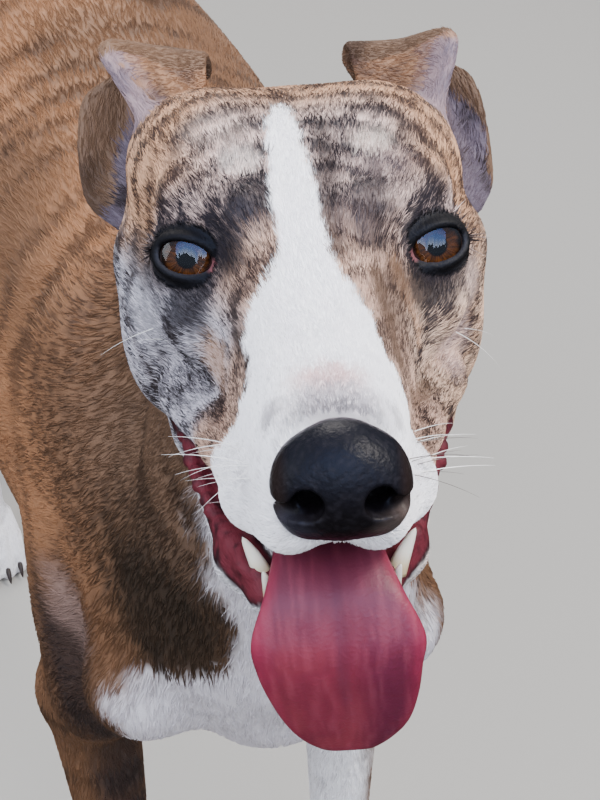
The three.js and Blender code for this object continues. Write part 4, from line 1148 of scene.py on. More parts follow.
def coat_sizes(p, q):
    """Length and width of a tuft, and how many grow on a square millimetre, before thinning."""
    ear, _, (row, _) = on_ear(q)
    head = np.maximum(ramp(110, 80, head_reach(q)), ear)
    muzzle = ramp(-20, -70, q[1]) * head
    rim, _ = lid_distance(q)
    near_eye = ramp(9, 2.5, rim) * head
    front = ramp(40, -10, q[1]) * head
    legs = ramp(330, 230, p[2])
    feet = ramp(80, 50, p[2])
    tail = ramp(392, 402, p[1])
    neck = neck_share(p)
    body = BODY_HAIR - 3.2 * legs - 2.4 * feet - 1.5 * neck - 2.6 * tail
    face = FACE_HAIR - 1.1 * front - 1.3 * muzzle - 1.2 * ear
    length = (body * (1 - head) + face * head) * (1 - 0.66 * near_eye)
    length = length * (1 - 0.55 * ear * ramp(3.1, 3.8, row))
    width = (BODY_TUFT - 0.35 * legs - 0.2 * feet - 0.25 * neck - 0.35 * tail) * (1 - head)
    width += (FACE_TUFT - 0.2 * front - 0.1 * muzzle - 0.06 * near_eye) * head
    density = COVER / (length * width)
    density *= 1 + 0.7 * front + 0.2 * head
    return length, width, density


# %% Tufts
COAT_PIECES = 7
TUFTS_EACH = 48_500
ROOT_DEPTH = 0.25
TUFT_LEAN = 0.16
rng = np.random.default_rng(1801)
corner_of = skin_points[skin_faces]
face_cross = np.cross(corner_of[:, 1] - corner_of[:, 0], corner_of[:, 2] - corner_of[:, 0])
face_area = np.linalg.norm(face_cross, axis=1) / 2
point_normal = np.zeros_like(skin_points)
for turn in range(3):
    for axis in range(3):
        point_normal[:, axis] += np.bincount(skin_faces[:, turn], face_cross[:, axis], len(skin_points))
point_normal = unit(point_normal)
middle_of = corner_of.mean(1).T
density = coat_sizes(middle_of, in_head(middle_of))[2] * (1 - bare(middle_of, in_head(middle_of)))
wish = density * face_area
count = COAT_PIECES * TUFTS_EACH
print("coat wants", int(wish.sum()), "tufts and gets", count)
faces_hit = np.sort(rng.choice(len(wish), count, p=wish / wish.sum()))
share = rng.dirichlet((1, 1, 1), count)
root = (corner_of[faces_hit] * share[:, :, None]).sum(1).T
normal = unit((point_normal[skin_faces[faces_hit]] * share[:, :, None]).sum(1)).T
here = in_head(root)
length, width, _ = coat_sizes(root, here)
length = length * rng.uniform(0.75, 1.25, count)
lie = lie_of_coat(root, here)
lie = unit(lie - normal * (lie * normal).sum(0), 0)
across = np.cross(lie.T, normal.T).T
lie = unit(lie + across * rng.normal(0, TUFT_LEAN, count), 0)
across = np.cross(lie.T, normal.T).T
depth = coat_depth(root)
tip = root + lie * length
for _ in range(2):
    tip = tip - normal * np.clip(skin_field(tip) - depth * rng.uniform(0.3, 0.75, count), -4, 6)
fall = tip - (root + lie * length)
ridge = root + lie * length * 0.42 + fall * 0.3 + normal * (width * 0.16 + depth * 0.22)
sunk = root - normal * ROOT_DEPTH
corners = np.stack([sunk - across * width / 2, sunk + across * width / 2, ridge, tip]).transpose(2, 0, 1)
mine = rng.random(count)
clump = noise(root, 3.0, 61)
fine = np.clip(0.65 * mine + 0.5 * (clump - 0.5) + 0.175, 0, 1)
hair = coat_colour(root, fine)
print("tufts from", round(float(length.min()), 1), "to", round(float(length.max()), 1), "mm long")

# %% [markdown]
# ## Colours of the bare skin
# Round the eyes the skin is black; the lower lip's fringe is dark red and wet, and the lining of the
# mouth is pink. The skin's own colours stay as points on its mesh, like those of the hair.

# %% Skin colours
def skin_colour(p, fine):
    rgb = coat_colour(p, fine)
    q = in_head(p)
    near = ((q - np.array([0, -20, -20.0])[:, None]) ** 2).sum(0) < 125**2
    q, out = q[:, near], rgb[near]
    speck = noise(q, 1.3, 71) * 0.6 + noise(q, 5, 72) * 0.4
    lip = lip_distance(q) - lip_width(q)
    edge = ramp(1.4, 0, lip + 1.6 * (speck - 0.5))
    wet = ramp(0, -1.6, lip) * ramp(0.15, 0.55, speck)
    out = layers(out, (1, edge, (34, 13, 18)), (1, wet, (96, 32, 42)))
    lining = mouth_lining(q)
    out = paint(out, lining, paint(GUM, ramp(0.3, 0.7, speck), tone(112, 52, 60)))
    # painted shade: the lining darkens towards the back of the mouth
    out = layers(out, (0.8, ramp(-70, -30, q[1]) * lining, (52, 20, 26)))
    for side in (1, -1):
        u, v, w = eye_axes(side) @ (q - eye_seat(side)[:, None])
        # a painted sheen, grey, on the wet rim of the lower lid; the inner corner is pink
        lid_sheen = ramp(13.2, 12.2, np.sqrt(u**2 + v**2 + w**2)) * (w > 2) * (v < 1)
        corner = ramp(2.6, 1.2, np.sqrt((u + LID_WIDTH * 0.96) ** 2 + (v + 0.6) ** 2)) * (w > 0)
        out = layers(out, (0.24, lid_sheen, (72, 70, 78)), (0.8, corner, (120, 70, 74)))
    rgb[near] = out
    return rgb


# %% [markdown]
# ## Making meshes
# Points in the dog's measures become metres about the model's own origin. A loft joins rings of points and
# closes both ends with a pole, so that every piece is one closed body.

# %% Mesh helpers
def mesh_object(name, points, faces, colours=None, smooth=True):
    mesh = bpy.data.meshes.new(name)
    mesh.vertices.add(len(points))
    mesh.vertices.foreach_set("co", ((points - CENTRE) / 1000).astype(np.float32).ravel())
    mesh.loops.add(faces.size)
    mesh.loops.foreach_set("vertex_index", faces.astype(np.int32).ravel())
    mesh.polygons.add(len(faces))
    mesh.polygons.foreach_set("loop_start", np.arange(0, faces.size, 3, dtype=np.int32))
    mesh.update(calc_edges=True)
    mesh.polygons.foreach_set("use_smooth", np.full(len(faces), smooth))
    if colours is not None:
        rgba = np.ones((len(points), 4), np.float32)
        rgba[:, :3] = np.clip(colours, 0, 1)
        mesh.attributes.new("paint", "FLOAT_COLOR", "POINT").data.foreach_set("color", rgba.ravel())
    piece = bpy.data.objects.new(name, mesh)
    bpy.context.collection.objects.link(piece)
    print(name, len(faces), "triangles")
    return piece


def loft(rings):
    """Points and triangles of a closed body through rings of equal length, with a pole at each end."""
    count, turn = rings.shape[:2]
    points = np.concatenate([rings.reshape(-1, 3), rings[0].mean(0)[None], rings[-1].mean(0)[None]])
    i, j = np.meshgrid(np.arange(count - 1), np.arange(turn), indexing="ij")
    a, b = (i * turn + j).ravel(), (i * turn + (j + 1) % turn).ravel()
    sides = np.concatenate([np.stack([a, b, b + turn], 1), np.stack([a, b + turn, a + turn], 1)])
    k = np.arange(turn)
    first = np.stack([np.full(turn, count * turn), (k + 1) % turn, k], 1)
    base = (count - 1) * turn
    last = np.stack([np.full(turn, count * turn + 1), base + k, base + (k + 1) % turn], 1)
    faces = np.concatenate([sides, first, last])
    one, two, three = (points[faces[:, k]] for k in range(3))
    volume = (one * np.cross(two, three)).sum()
    return points, faces if volume > 0 else faces[:, ::-1]


def joined(bodies):
    """Several bodies' points and triangles as one list each."""
    points, faces, first = [], [], 0
    for p, f in bodies:
        points.append(p)
        faces.append(f + first)
        first += len(p)
    return np.concatenate(points), np.concatenate(faces)


def belongs(piece, nodes):
    """Ties a piece to the frame: hides the solids it stands for, and hangs it on the root body."""
    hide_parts(*nodes)
    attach(piece, "root")


SIDES = ("left", "right")
FLESH = ["head", "lower_jaw", "neck", "chest", "loin_and_rump", "tail"]
FLESH += [f"{part}_{side}" for part in ("ear", "foreleg", "forepaw", "hindleg", "hindpaw") for side in SIDES]

# %% [markdown]
# ## Eyes
# A dog's eye is a ball about 22 mm across with a clear cornea that bulges a little, a brown iris behind it
# with fine radial fibres, and a round pupil. The glass eye of a mount is made the same way: a painted
# disc set into the ball, and a clear dome over it.

# %% Eyeballs
IRIS_RADIUS, PUPIL_RADIUS = 7.6, 3.3
IRIS_DEPTH = 7.6
CORNEA_RADIUS, CORNEA_RISE = 8.35, 4.1
EYE_TURN = 96


def turned(side, profile):
    """A body of revolution about an eye's line of sight, from (radius, height) pairs."""
    angle = np.linspace(0, 2 * np.pi, EYE_TURN, endpoint=False)
    profile = np.array(profile, float)
    rings = np.stack([
        profile[:, :1] * np.cos(angle),
        profile[:, :1] * np.sin(angle),
        np.repeat(profile[:, 1:], EYE_TURN, 1),
    ], -1)
    points, faces = loft(rings @ eye_axes(side))
    return head_point(points + eye_seat(side)), faces


def eye_profile():
    back = [(EYE_RADIUS * np.sin(t), -EYE_RADIUS * np.cos(t)) for t in np.linspace(0.06, 2.38, 40)]
    disc = [(IRIS_RADIUS * (1 - s), IRIS_DEPTH - 0.55 * s) for s in np.linspace(0, 0.97, 60)]
    return back + disc


def eyeball(name, side):
    points, faces = turned(side, eye_profile())
    local = eye_axes(side) @ (in_head(points.T) - eye_seat(side)[:, None])
    radius, angle = np.hypot(local[0], local[1]), np.arctan2(local[1], local[0])
    front = local[2] > 4
    fibre = noise(np.stack([np.cos(angle) * 26, np.sin(angle) * 26, radius * 0.6]), 1.0, 81)
    iris = paint(tone(34, 17, 6), ramp(0.25, 0.85, fibre), tone(78, 43, 17))
    pupil = ramp(PUPIL_RADIUS + 0.35, PUPIL_RADIUS - 0.25, radius)
    iris = layers(iris, (1, ramp(5.9, 7.3, radius), (10, 6, 5)), (1, pupil, (2, 2, 2)))
    white = paint(tone(150, 138, 134), ramp(10.0, 8.2, radius), tone(36, 24, 22))
    colours = np.where((front & (radius < IRIS_RADIUS - 0.02))[:, None], iris, white)
    return mesh_object(name, points, faces, colours)


def cornea(name, side):
    """A clear dome, seated on the ball's edge just in front of the iris."""
    dome = [(CORNEA_RADIUS * np.sin(t), IRIS_DEPTH - 0.25 + CORNEA_RISE * np.cos(t))
            for t in np.linspace(1.57, 0.02, 44)]
    under = [(r, IRIS_DEPTH - 0.05) for r in np.linspace(0.3, 8.2, 24)]
    return mesh_object(name, *turned(side, under + dome))


eyes = {side: eyeball(f"eyeball_{name}", side) for name, side in zip(SIDES, (1, -1))}
corneas = {side: cornea(f"cornea_{name}", side) for name, side in zip(SIDES, (1, -1))}

# %% [markdown]
# ## Nose leather
# A hairless, damp pad with fine pebbles, a groove down its middle and a comma-shaped nostril on each side
# that opens outward into a slit. It is sculpted as a field like the skin, with smaller cells.

# %% Nose
NOSE_X = 1.3
NOSE_CELL = 0.62


def nose_shape(p):
    pad = blend(
        4,
        egg((NOSE_X, -110.5, -16.2), (15, 14, 15.4)),
        *both(lambda s: egg((9 * s + NOSE_X, -110, -18.5), (8.5, 12, 12))),
    )
    back = -102.5 - p[1] + 0.22 * (p[2] + 2)
    shape = -soft_least(-pad(p), back, 1.0)
    hollow = blend(1.5, *both(lambda s: blend(
        1.5,
        limb((8.6 * s + NOSE_X, -121.5, -16.8), 4.1, (7.6 * s + NOSE_X, -111, -15.5), 2.8),
        limb((10.4 * s + NOSE_X, -121, -18), 2.8, (15 * s + NOSE_X, -116.5, -20.5), 1.8),
        limb((15 * s + NOSE_X, -116.5, -20.5), 1.8, (18.2 * s + NOSE_X, -109.5, -20.5), 1.1),
    )))(p)
    shape = -soft_least(-shape, hollow, 1.6)
    groove = limb((NOSE_X, -126.2, -13), 0.7, (NOSE_X, -123.5, -31), 1.0)(p)
    shape = -soft_least(-shape, groove, 1.8)
    return shape + 0.16 * (noise(p, 0.9, 91) - 0.5)


nose_middle = head_point((NOSE_X, -112, -16.2))
nose_points, nose_faces = faceted(lambda p: nose_shape(in_head(p)), nose_middle - 24, nose_middle + 24,
                                  NOSE_CELL, lambda p: np.zeros(p.shape[1]), 2)
q = in_head(nose_points.T)
speck = noise(q, 0.9, 91)
top = ramp(-22, -6, q[2])
nostril_shade = both(lambda s: spot(q, (8.6 * s + NOSE_X, -117.5, -16.8), (4.8, 4.6, 4.4), 0.3))
leather = layers(
    # the top of the leather a little bluer: a painted sheen of the sky above
    paint(tone(16, 13, 15), top, tone(15, 15, 21)),
    (0.4, ramp(0.45, 0.9, speck), (34, 31, 36)),
    (0.5, ramp(12.5, 16, np.abs(q[0] - NOSE_X)), (44, 32, 28)),
    (0.75, ramp(-109, -104, q[1] + 2.5 * (speck - 0.5)) * top, (116, 104, 110)),
    # a bluish patch low on the right of the leather and a warm one low on its left: painted highlights
    (0.4, spot(q, (-11, -117, -24.5), (6, 6, 2.8), 0.7), (66, 66, 80)),
    (0.5, spot(q, (13.5, -117, -24.5), (6, 6, 2.8), 0.7), (112, 96, 90)),
    # painted shade: the nostrils nearly black
    (0.9, np.maximum(*nostril_shade), (6, 4, 5)),
)
nose = mesh_object("nose_leather", nose_points, nose_faces, leather)

# %% [markdown]
# ## Tongue
# The tongue rests in the lower jaw, widens between the canines and hangs down over the lip. It is a loft
# of flat rings: a groove along the middle, thick soft edges and rows of small papillae on its upper side.

# %% Tongue
# place on the tongue's path, half width, thickness
TONGUE = (
    ((0, -14, -56), 14, 9),
    ((0, -50, -54), 13.5, 10),
    ((-1.3, -84, -52), 14.7, 10),
    ((-1, -99, -56), 18, 9),
    ((-0.4, -106, -66), 22.7, 8),
    ((-0.3, -107, -75), 21.8, 7.5),
    ((0.8, -105, -86), 19.7, 7),
    ((1.7, -102.5, -96), 16.5, 6),
    ((1.8, -100.5, -103), 12, 4.5),
    ((2, -99.5, -107.5), 6.5, 3),
)
TONGUE_RINGS, TONGUE_TURN = 190, 128


def tongue_body():
    path = curve_through([row[0] for row in TONGUE], TONGUE_RINGS)
    size = curve_through([row[1:] for row in TONGUE], TONGUE_RINGS)
    half, thick = size.T * np.sqrt(1 - ramp(0.965, 1.003, np.linspace(0, 1, TONGUE_RINGS)) ** 2)
    along = unit(np.gradient(path, axis=0))
    face = unit(np.cross([1.0, 0, 0], along))
    turn = np.linspace(0, 2 * np.pi, TONGUE_TURN, endpoint=False)
    c, s = np.cos(turn), np.sin(turn)
    across = half[:, None] * np.sign(c) * np.abs(c) ** 0.85
    body = np.clip((thick - 1.5) / 6, 0, 1)[:, None]
    groove = 2.6 * body * np.exp(-((across / 3.2) ** 2)) * np.where(s > 0, 1, -0.4)
    dish = body * (1 - (across / half[:, None]) ** 2) * np.where(s > 0, 1, -1)
    rise = s * thick[:, None] / 2 - groove - dish * 0.6
    place = path[:, None] + across[..., None] * np.array([1.0, 0, 0]) + rise[..., None] * face[:, None]
    down = np.repeat(np.arange(TONGUE_RINGS)[:, None] * 1.0, TONGUE_TURN, 1)
    upper = s > 0.1

    def grains(drawn, size, seed):
        cloud = np.stack([across, down * drawn, 0 * across]).reshape(3, -1)
        return noise(cloud, size, seed).reshape(across.shape) - 0.5

    lift = upper * body * (0.36 * grains(0.55, 0.8, 95) + 0.6 * grains(0.12, 1.1, 96))
    place = place + lift[..., None] * face[:, None]
    edge = np.abs(across) / half[:, None]
    return place, down / TONGUE_RINGS, across, edge


rings, *measures = tongue_body()
points, faces = loft(rings)
down, across, edge = [np.append(v.ravel(), [v[0].mean(), v[-1].mean()]) for v in measures]
cloud = np.stack([across, down * 100, 0 * across])
vein = np.abs(noise(cloud * np.array([1, 0.35, 1])[:, None], 5, 98) - 0.5)
streak = noise(cloud * np.array([1, 0.12, 1])[:, None], 1.0, 99)
flesh = layers(
    tone(118, 36, 54),
    (0.35, ramp(0.45, 0.8, noise(cloud, 7, 97)), (142, 52, 62)),
    (0.65, ramp(1, 11, across), (82, 22, 50)),
    # painted shade: darker towards the back, where the tongue lies inside the mouth
    (1, ramp(0.6, 0.3, down), (96, 38, 56)),
    (0.6, ramp(0.74, 0.97, edge), (140, 34, 62)),
    # painted shade: a darker purple along the middle groove
    (0.65, ramp(2.4, 0.3, np.abs(across - 0.5)) * ramp(0.85, 0.5, down), (84, 30, 50)),
    (0.4, ramp(0.035, 0.0, vein) * ramp(3, 9, across), (104, 24, 42)),
    (0.16, ramp(0.5, 0.85, streak), (160, 76, 92)),
    (0.14, ramp(0.5, 0.2, streak), (70, 18, 36)),
)
tongue = mesh_object("tongue_flesh", head_point(points), faces, flesh)

# %% [markdown]
# ## Teeth and claws
# Enamel is ivory and smooth, and yellower towards the gum. Claws are short dark horn, deeper than wide and
# curved down. Both are cones along a bent line, rounded at the tip.

# %% Teeth
def horn(base, tip, droop, radius, squash=0.8, steps=14, sides=16, blunt=0.35):
    """A cone from base to tip that sinks by droop at its end, as rings in the base's own frame."""
    base, tip = np.array(base, float), np.array(tip, float)
    forward = unit(tip - base)
    side = np.cross(forward, [0, 0, 1.0])
    side = unit(side if np.linalg.norm(side) > 0.2 else np.cross(forward, [0, 1.0, 0]))
    up = np.cross(side, forward)
    turn = np.linspace(0, 2 * np.pi, sides, endpoint=False)
    rings = []
    for t in np.linspace(0, 1, steps):
        middle = base + (tip - base) * t - up * droop * t * t
        r = radius * ((1 - t) ** 0.8 * (1 - blunt) + blunt * np.sqrt(max(1 - t**3, 0))) + 0.03
        rings.append(middle + np.outer(np.cos(turn), side) * r * squash + np.outer(np.sin(turn), up) * r)
    return np.array(rings)


# place of the root, direction, length, radius, in the head's own frame
TEETH = [row for s in (1, -1) for row in (
    ((17.5 * s - 1, -86, -60), (0.34 * s, 0.1, 1), 14, 3),
    ((16.6 * s - 1, -92, -61), (0.1 * s, -0.2, 1), 10, 2),
    ((21 * s - 1, -70, -58), (0, 0, 1), 7, 3.4),
    ((24.8 * s - 1, -53, -57), (0, 0, 1), 7, 3.4),
)]
bodies = []
for root, direction, long, radius in TEETH:
    rings = horn(root, np.array(root) + unit(np.array(direction, float)) * long, 1.2, radius, 0.85)
    bodies.append(loft(head_point(rings.reshape(-1, 3)).reshape(rings.shape)))
points, faces = joined(bodies)
height = np.concatenate([np.append(np.repeat(np.linspace(0, 1, 14), 16), [0, 1]) for _ in TEETH])
ivory = paint(tone(196, 176, 138), ramp(0.1, 0.6, height), tone(236, 230, 218))
teeth = mesh_object("teeth", points, faces, ivory)

# %% Claws
claw_nodes, bodies = [], []
for which, stance, line in PAIRS:
    for name, side in zip(SIDES, (1, -1)):
        for number, toe in enumerate(TOES):
            _, knuckle, _, tip = toe_joints(side, stance, line, toe)
            ahead = unit(np.array([tip[0] - knuckle[0], tip[1] - knuckle[1], -4]))
            root = tip + ahead * 2 + (0, 0, 5)
            bodies.append(loft(horn(root, root + ahead * 15.5, 4.5, 3.7)))
            claw_nodes.append(f"claw_{which}_{name}_{number + 1}")
for name, side in zip(SIDES, (1, -1)):
    reach = np.array([-0.25 * side, -0.5, -0.83])
    root = np.array([(FRONT_STANCE - 15 - 2.5) * side, -238, 92]) + reach * 4
    bodies.append(loft(horn(root, root + unit(reach) * 13.5, 2.5, 2.8)))
    claw_nodes.append(f"claw_fore_{name}_5")
points, faces = joined(bodies)
claws = mesh_object("claws", points, faces)

# %% [markdown]
# ## Feelers
# Stiff hairs stand out from the muzzle, the cheeks and the chin, white where the skin is white and dark
# elsewhere. All are one bristle, repeated: a unit cone that bends by the square of its height is set on
# points just under the skin, turned the way each grows with its bend downward, and scaled to its length.

# %% Bristle tree
def new_node(tree, kind, inputs=(), **settings):
    """A new node whose inputs, by name or number, take plain values or other nodes' outputs."""
    node = tree.nodes.new(kind)
    for name, value in settings.items():
        setattr(node, name, value)
    for socket, value in dict(inputs).items():
        if isinstance(value, bpy.types.NodeSocket):
            tree.links.new(value, node.inputs[socket])
        else:
            node.inputs[socket].default_value = value
    return node


def bristle_tree():
    tree = bpy.data.node_groups.new("bristles", "GeometryNodeTree")
    asked = {"Roots": "Geometry", "Thickness": "Float", "Bend": "Float", "Material": "Material"}
    for name, kind in asked.items():
        tree.interface.new_socket(name, in_out="INPUT", socket_type=f"NodeSocket{kind}")
    tree.interface.new_socket("Bristles", in_out="OUTPUT", socket_type="NodeSocketGeometry")
    given = new_node(tree, "NodeGroupInput").outputs

    def named(name, kind):
        node = new_node(tree, "GeometryNodeInputNamedAttribute", {"Name": name}, data_type=kind)
        return node.outputs["Attribute"]

    def maths(operation, first, second):
        return new_node(tree, "ShaderNodeMath", {0: first, 1: second}, operation=operation).outputs[0]

    base = given["Thickness"]
    tip = maths("MULTIPLY", base, 0.15)
    sizes = {"Vertices": 3, "Side Segments": 8, "Depth": 1.0, "Radius Bottom": base, "Radius Top": tip}
    cone = new_node(tree, "GeometryNodeMeshCone", sizes, fill_type="TRIANGLE_FAN").outputs["Mesh"]
    place = new_node(tree, "GeometryNodeInputPosition").outputs[0]
    height = new_node(tree, "ShaderNodeSeparateXYZ", {0: place}).outputs["Z"]
    aside = maths("MULTIPLY", maths("POWER", height, 2.0), given["Bend"])
    shift = new_node(tree, "ShaderNodeCombineXYZ", {"X": aside}).outputs[0]
    bent = new_node(tree, "GeometryNodeSetPosition", {"Geometry": cone, "Offset": shift}).outputs[0]
    turn = "FunctionNodeAlignRotationToVector"
    upright = new_node(tree, turn, {"Vector": named("way", "FLOAT_VECTOR")}, axis="Z").outputs[0]
    hanging = {"Vector": (0, 0.5, -1), "Rotation": upright}
    rolled = new_node(tree, turn, hanging, axis="X", pivot_axis="Z").outputs[0]
    spread = {"Points": given["Roots"], "Instance": bent, "Rotation": rolled, "Scale": named("long", "FLOAT")}
    grown = new_node(tree, "GeometryNodeInstanceOnPoints", spread).outputs[0]
    real = new_node(tree, "GeometryNodeRealizeInstances", {0: grown}).outputs[0]
    done = new_node(tree, "GeometryNodeSetMaterial", {"Geometry": real, "Material": given["Material"]})
    new_node(tree, "NodeGroupOutput", {"Bristles": done.outputs[0]})
    return tree


# %% Whiskers
# where they grow in the head's own frame, for the left side; how far they spread; how many; length; the way
FEELERS = (
    ((17, -92, -26), (4, 8, 4), 7, 21, (0.95, 0.25, -0.05)),
    ((21, -76, -29), (4, 8, 4), 6, 19, (0.95, 0.45, 0.0)),
    ((44, -2, -26), (3, 4, 4), 2, 17, (1.0, 0.1, -0.2)),
    ((9, -84, -73), (6, 6, 1), 5, 12, (0.3, -0.5, -0.9)),
)
BRISTLE_THICKNESS, BRISTLE_BEND, BRISTLE_DEPTH = 0.0075, 0.34, 0.8
ROOT_SCATTER, WAY_SCATTER = 0.5, 0.16
rng = np.random.default_rng(77)
starts, ways, lengths, shades = [], [], [], []
for side in (1, -1):
    for place, spread, number, long, way in FEELERS:
        for _ in range(number):
            start = (np.array(place) + rng.normal(0, ROOT_SCATTER, 3) * spread) * (side, 1, 1)
            start = onto(lambda p: face_field(p) + 0.4, start[:, None], 12, 4)[:, 0]
            grows = unit((np.array(way) + rng.normal(0, WAY_SCATTER, 3)) * (side, 1, 1))
            starts.append(head_point(start - grows * BRISTLE_DEPTH))
            ways.append(HEAD_AXES @ grows)
            lengths.append(long * rng.uniform(0.7, 1.25) / 1000)
            dark = side > 0 and rng.random() < 0.55 and place[1] < -50
            shades.append([*(tone(58, 48, 46) if dark else tone(228, 224, 222)), 1])
roots = bpy.data.meshes.new("whiskers")
roots.from_pydata(((np.array(starts) - CENTRE) / 1000).tolist(), [], [])
for name, kind, values, field in (
    ("way", "FLOAT_VECTOR", ways, "vector"),
    ("long", "FLOAT", lengths, "value"),
    ("paint", "FLOAT_COLOR", shades, "color"),
):
    layer = roots.attributes.new(name, kind, "POINT")
    layer.data.foreach_set(field, np.array(values, np.float32).ravel())
whiskers = bpy.data.objects.new("whiskers", roots)
bpy.context.collection.objects.link(whiskers)
bristles = bristle_tree()
grown = whiskers.modifiers.new("bristles", "NODES")
grown.node_group = bristles
values = {"Thickness": BRISTLE_THICKNESS, "Bend": BRISTLE_BEND, "Material": bpy.data.materials.new("feelers")}
for socket in bristles.interface.items_tree:
    if socket.name in values:
        grown[socket.identifier] = values[socket.name]
ready = bpy.context.evaluated_depsgraph_get()
solid = bpy.data.meshes.new_from_object(whiskers.evaluated_get(ready))
whiskers.modifiers.remove(grown)
whiskers.data = solid
print("whiskers", len(starts), "hairs", len(solid.polygons), "faces")

# %% [markdown]
# ## Skin and coat meshes
# The skin is one mesh. The tufts are shared out at random over several meshes, so that each stays small;
# each tuft has its own small patch on an unwrap that opens the head, neck, trunk, legs and tail as tubes.

# %% Skin mesh
fine_skin = noise(skin_points.T, 1.1, 62) * 0.55 + noise(skin_points.T, 3.0, 61) * 0.45
skin = mesh_object("skin", skin_points, skin_faces, skin_colour(skin_points.T, fine_skin))


# %% Unwrap
# corner and size on the map of each tube: head, neck, trunk, tail, forelegs and hind legs, left before right
TUBES = np.array((
    ((0.01, 0.51), (0.48, 0.48)),
    ((0.51, 0.51), (0.23, 0.48)),
    ((0.01, 0.01), (0.58, 0.48)),
    ((0.76, 0.51), (0.05, 0.48)),
    ((0.61, 0.01), (0.09, 0.48)),
    ((0.71, 0.01), (0.09, 0.48)),
    ((0.81, 0.01), (0.09, 0.48)),
    ((0.91, 0.01), (0.08, 0.48)),
))
BETWEEN_LEGS = 50


def unwrap(p):
    """Place on the map of points in columns: angle round the tube they lie on, and share of its length."""
    q = in_head(p)
    head = ((q - np.array([0, 0, -15.0])[:, None]) ** 2).sum(0) < 125**2
    leg = leg_share(p) > 0.5
    tail = (p[1] > 372) & (np.abs(p[0]) < 36) & ~leg
    neck = (neck_share(p) > 0.5) & ~head
    fore, left = p[1] < BETWEEN_LEGS, p[0] > 0
    kinds = [head, tail, neck, leg & fore & left, leg & fore, leg & left, leg]
    home = np.select(kinds, [0, 3, 1, 4, 5, 6, 7], 2)
    first = [home == k for k in range(4)]
    stance = np.where(fore, FRONT_STANCE, HIND_STANCE)
    bone = np.where(fore, -222, np.interp(p[2], (60, 225, 346, 446), (336, 336, 264, 220)))
    across = np.select(first, [q[0], p[0], p[0], p[0]], np.abs(p[0]) - stance)
    beside_neck = p[1] + 300 + 0.55 * (p[2] - 680)
    over = np.select(first, [q[2] + 20, beside_neck, p[2] - 570, p[1] - 405], p[1] - bone)
    along = [(q[1] + 130) / 260, (p[2] - 480) / 400, (p[1] + 350) / 760, (p[2] - 150) / 500]
    run = np.select(first, along, p[2] / 560)
    share = np.stack([np.arctan2(across, over) / (2 * np.pi) + 0.5, np.clip(run, 0, 1)], 1)
    return TUBES[home, 0] + share * TUBES[home, 1]


# %% Coat meshes
TUFT_FACES = np.array([(0, 1, 2), (0, 2, 3), (1, 3, 2), (0, 3, 1)])
PATCH = np.array([(-1, -1), (1, -1), (0, 0), (0, 1)]) * 0.0015
# hair is darker at the root and lighter at the tip
TUFT_SHADE = np.array([0.84, 0.84, 1.0, 1.05])[:, None]
side_of = np.einsum("ij,ij->i", np.cross(corners[:, 1] - corners[:, 0], corners[:, 2] - corners[:, 0]),
                    corners[:, 3] - corners[:, 0])
print("tufts turned out:", int((side_of < 0).sum()), "of", count)
root_places = corners[:, :2].mean(1).T
map_place = unwrap(root_places)
order = rng.permutation(count)
coat = []
for k in range(COAT_PIECES):
    mine = order[k * TUFTS_EACH:(k + 1) * TUFTS_EACH]
    faces = TUFT_FACES + 4 * np.arange(len(mine))[:, None, None]
    turned_in = side_of[mine] > 0
    faces[turned_in] = faces[turned_in][:, :, ::-1]
    shade = hair[mine][:, None] * TUFT_SHADE
    parts = [part.reshape(-1, 3) for part in (corners[mine], faces, shade)]
    piece = mesh_object(f"coat_{k + 1}", *parts, smooth=False)
    places = (map_place[mine][:, None] + PATCH).reshape(-1, 2)
    layer = piece.data.uv_layers.new(name="OFBake")
    layer.data.foreach_set("uv", places[parts[1].ravel()].astype(np.float32).ravel())
    coat.append(piece)

# %% [markdown]
# ## Materials
# Colours come from the points; the shaders add what is finer than the mesh. The lids and the nose are
# damp, the tongue is wet and lets light into its edge, and hair has a soft sheen.

# %% Materials
def material(name, pieces=(), relief=None, depth=0.0, colour=None, **values):
    """A material on pieces, its constant values set on the shader's own sockets. It takes the mesh's own
    paint unless it has a colour, and a relief roughens it to that depth."""
    made = bpy.data.materials.get(name) or bpy.data.materials.new(name)
    made.use_nodes = True
    tree = made.node_tree
    shader = tree.nodes["Principled BSDF"]
    for socket, value in values.items():
        shader.inputs[socket.replace("_", " ")].default_value = value
    if colour is None:
        own = new_node(tree, "ShaderNodeAttribute", attribute_name="paint")
        tree.links.new(own.outputs["Color"], shader.inputs["Base Color"])
    else:
        shader.inputs["Base Color"].default_value = (*colour, 1)
    if relief:
        rough = new_node(tree, "ShaderNodeGroup", node_tree=relief).outputs["Grain"]
        bump = new_node(tree, "ShaderNodeBump", {"Distance": depth, "Strength": 0.5, "Height": rough})
        tree.links.new(bump.outputs["Normal"], shader.inputs["Normal"])
    for piece in pieces:
        piece.data.materials.append(made)
    return tree, shader


def grain(name, stretch, size):
    """A node group that puts out a value of noise drawn out along one axis."""
    group = bpy.data.node_groups.new(name, "ShaderNodeTree")
    group.interface.new_socket("Grain", in_out="OUTPUT", socket_type="NodeSocketFloat")
    place = new_node(group, "ShaderNodeTexCoord").outputs["Object"]
    drawn = new_node(group, "ShaderNodeVectorMath", {0: place, 1: stretch}, operation="MULTIPLY").outputs[0]
    found = new_node(group, "ShaderNodeTexNoise", {"Vector": drawn, "Scale": size, "Detail": 2})
    new_node(group, "NodeGroupOutput", {"Grain": found.outputs["Fac"]})
    return group


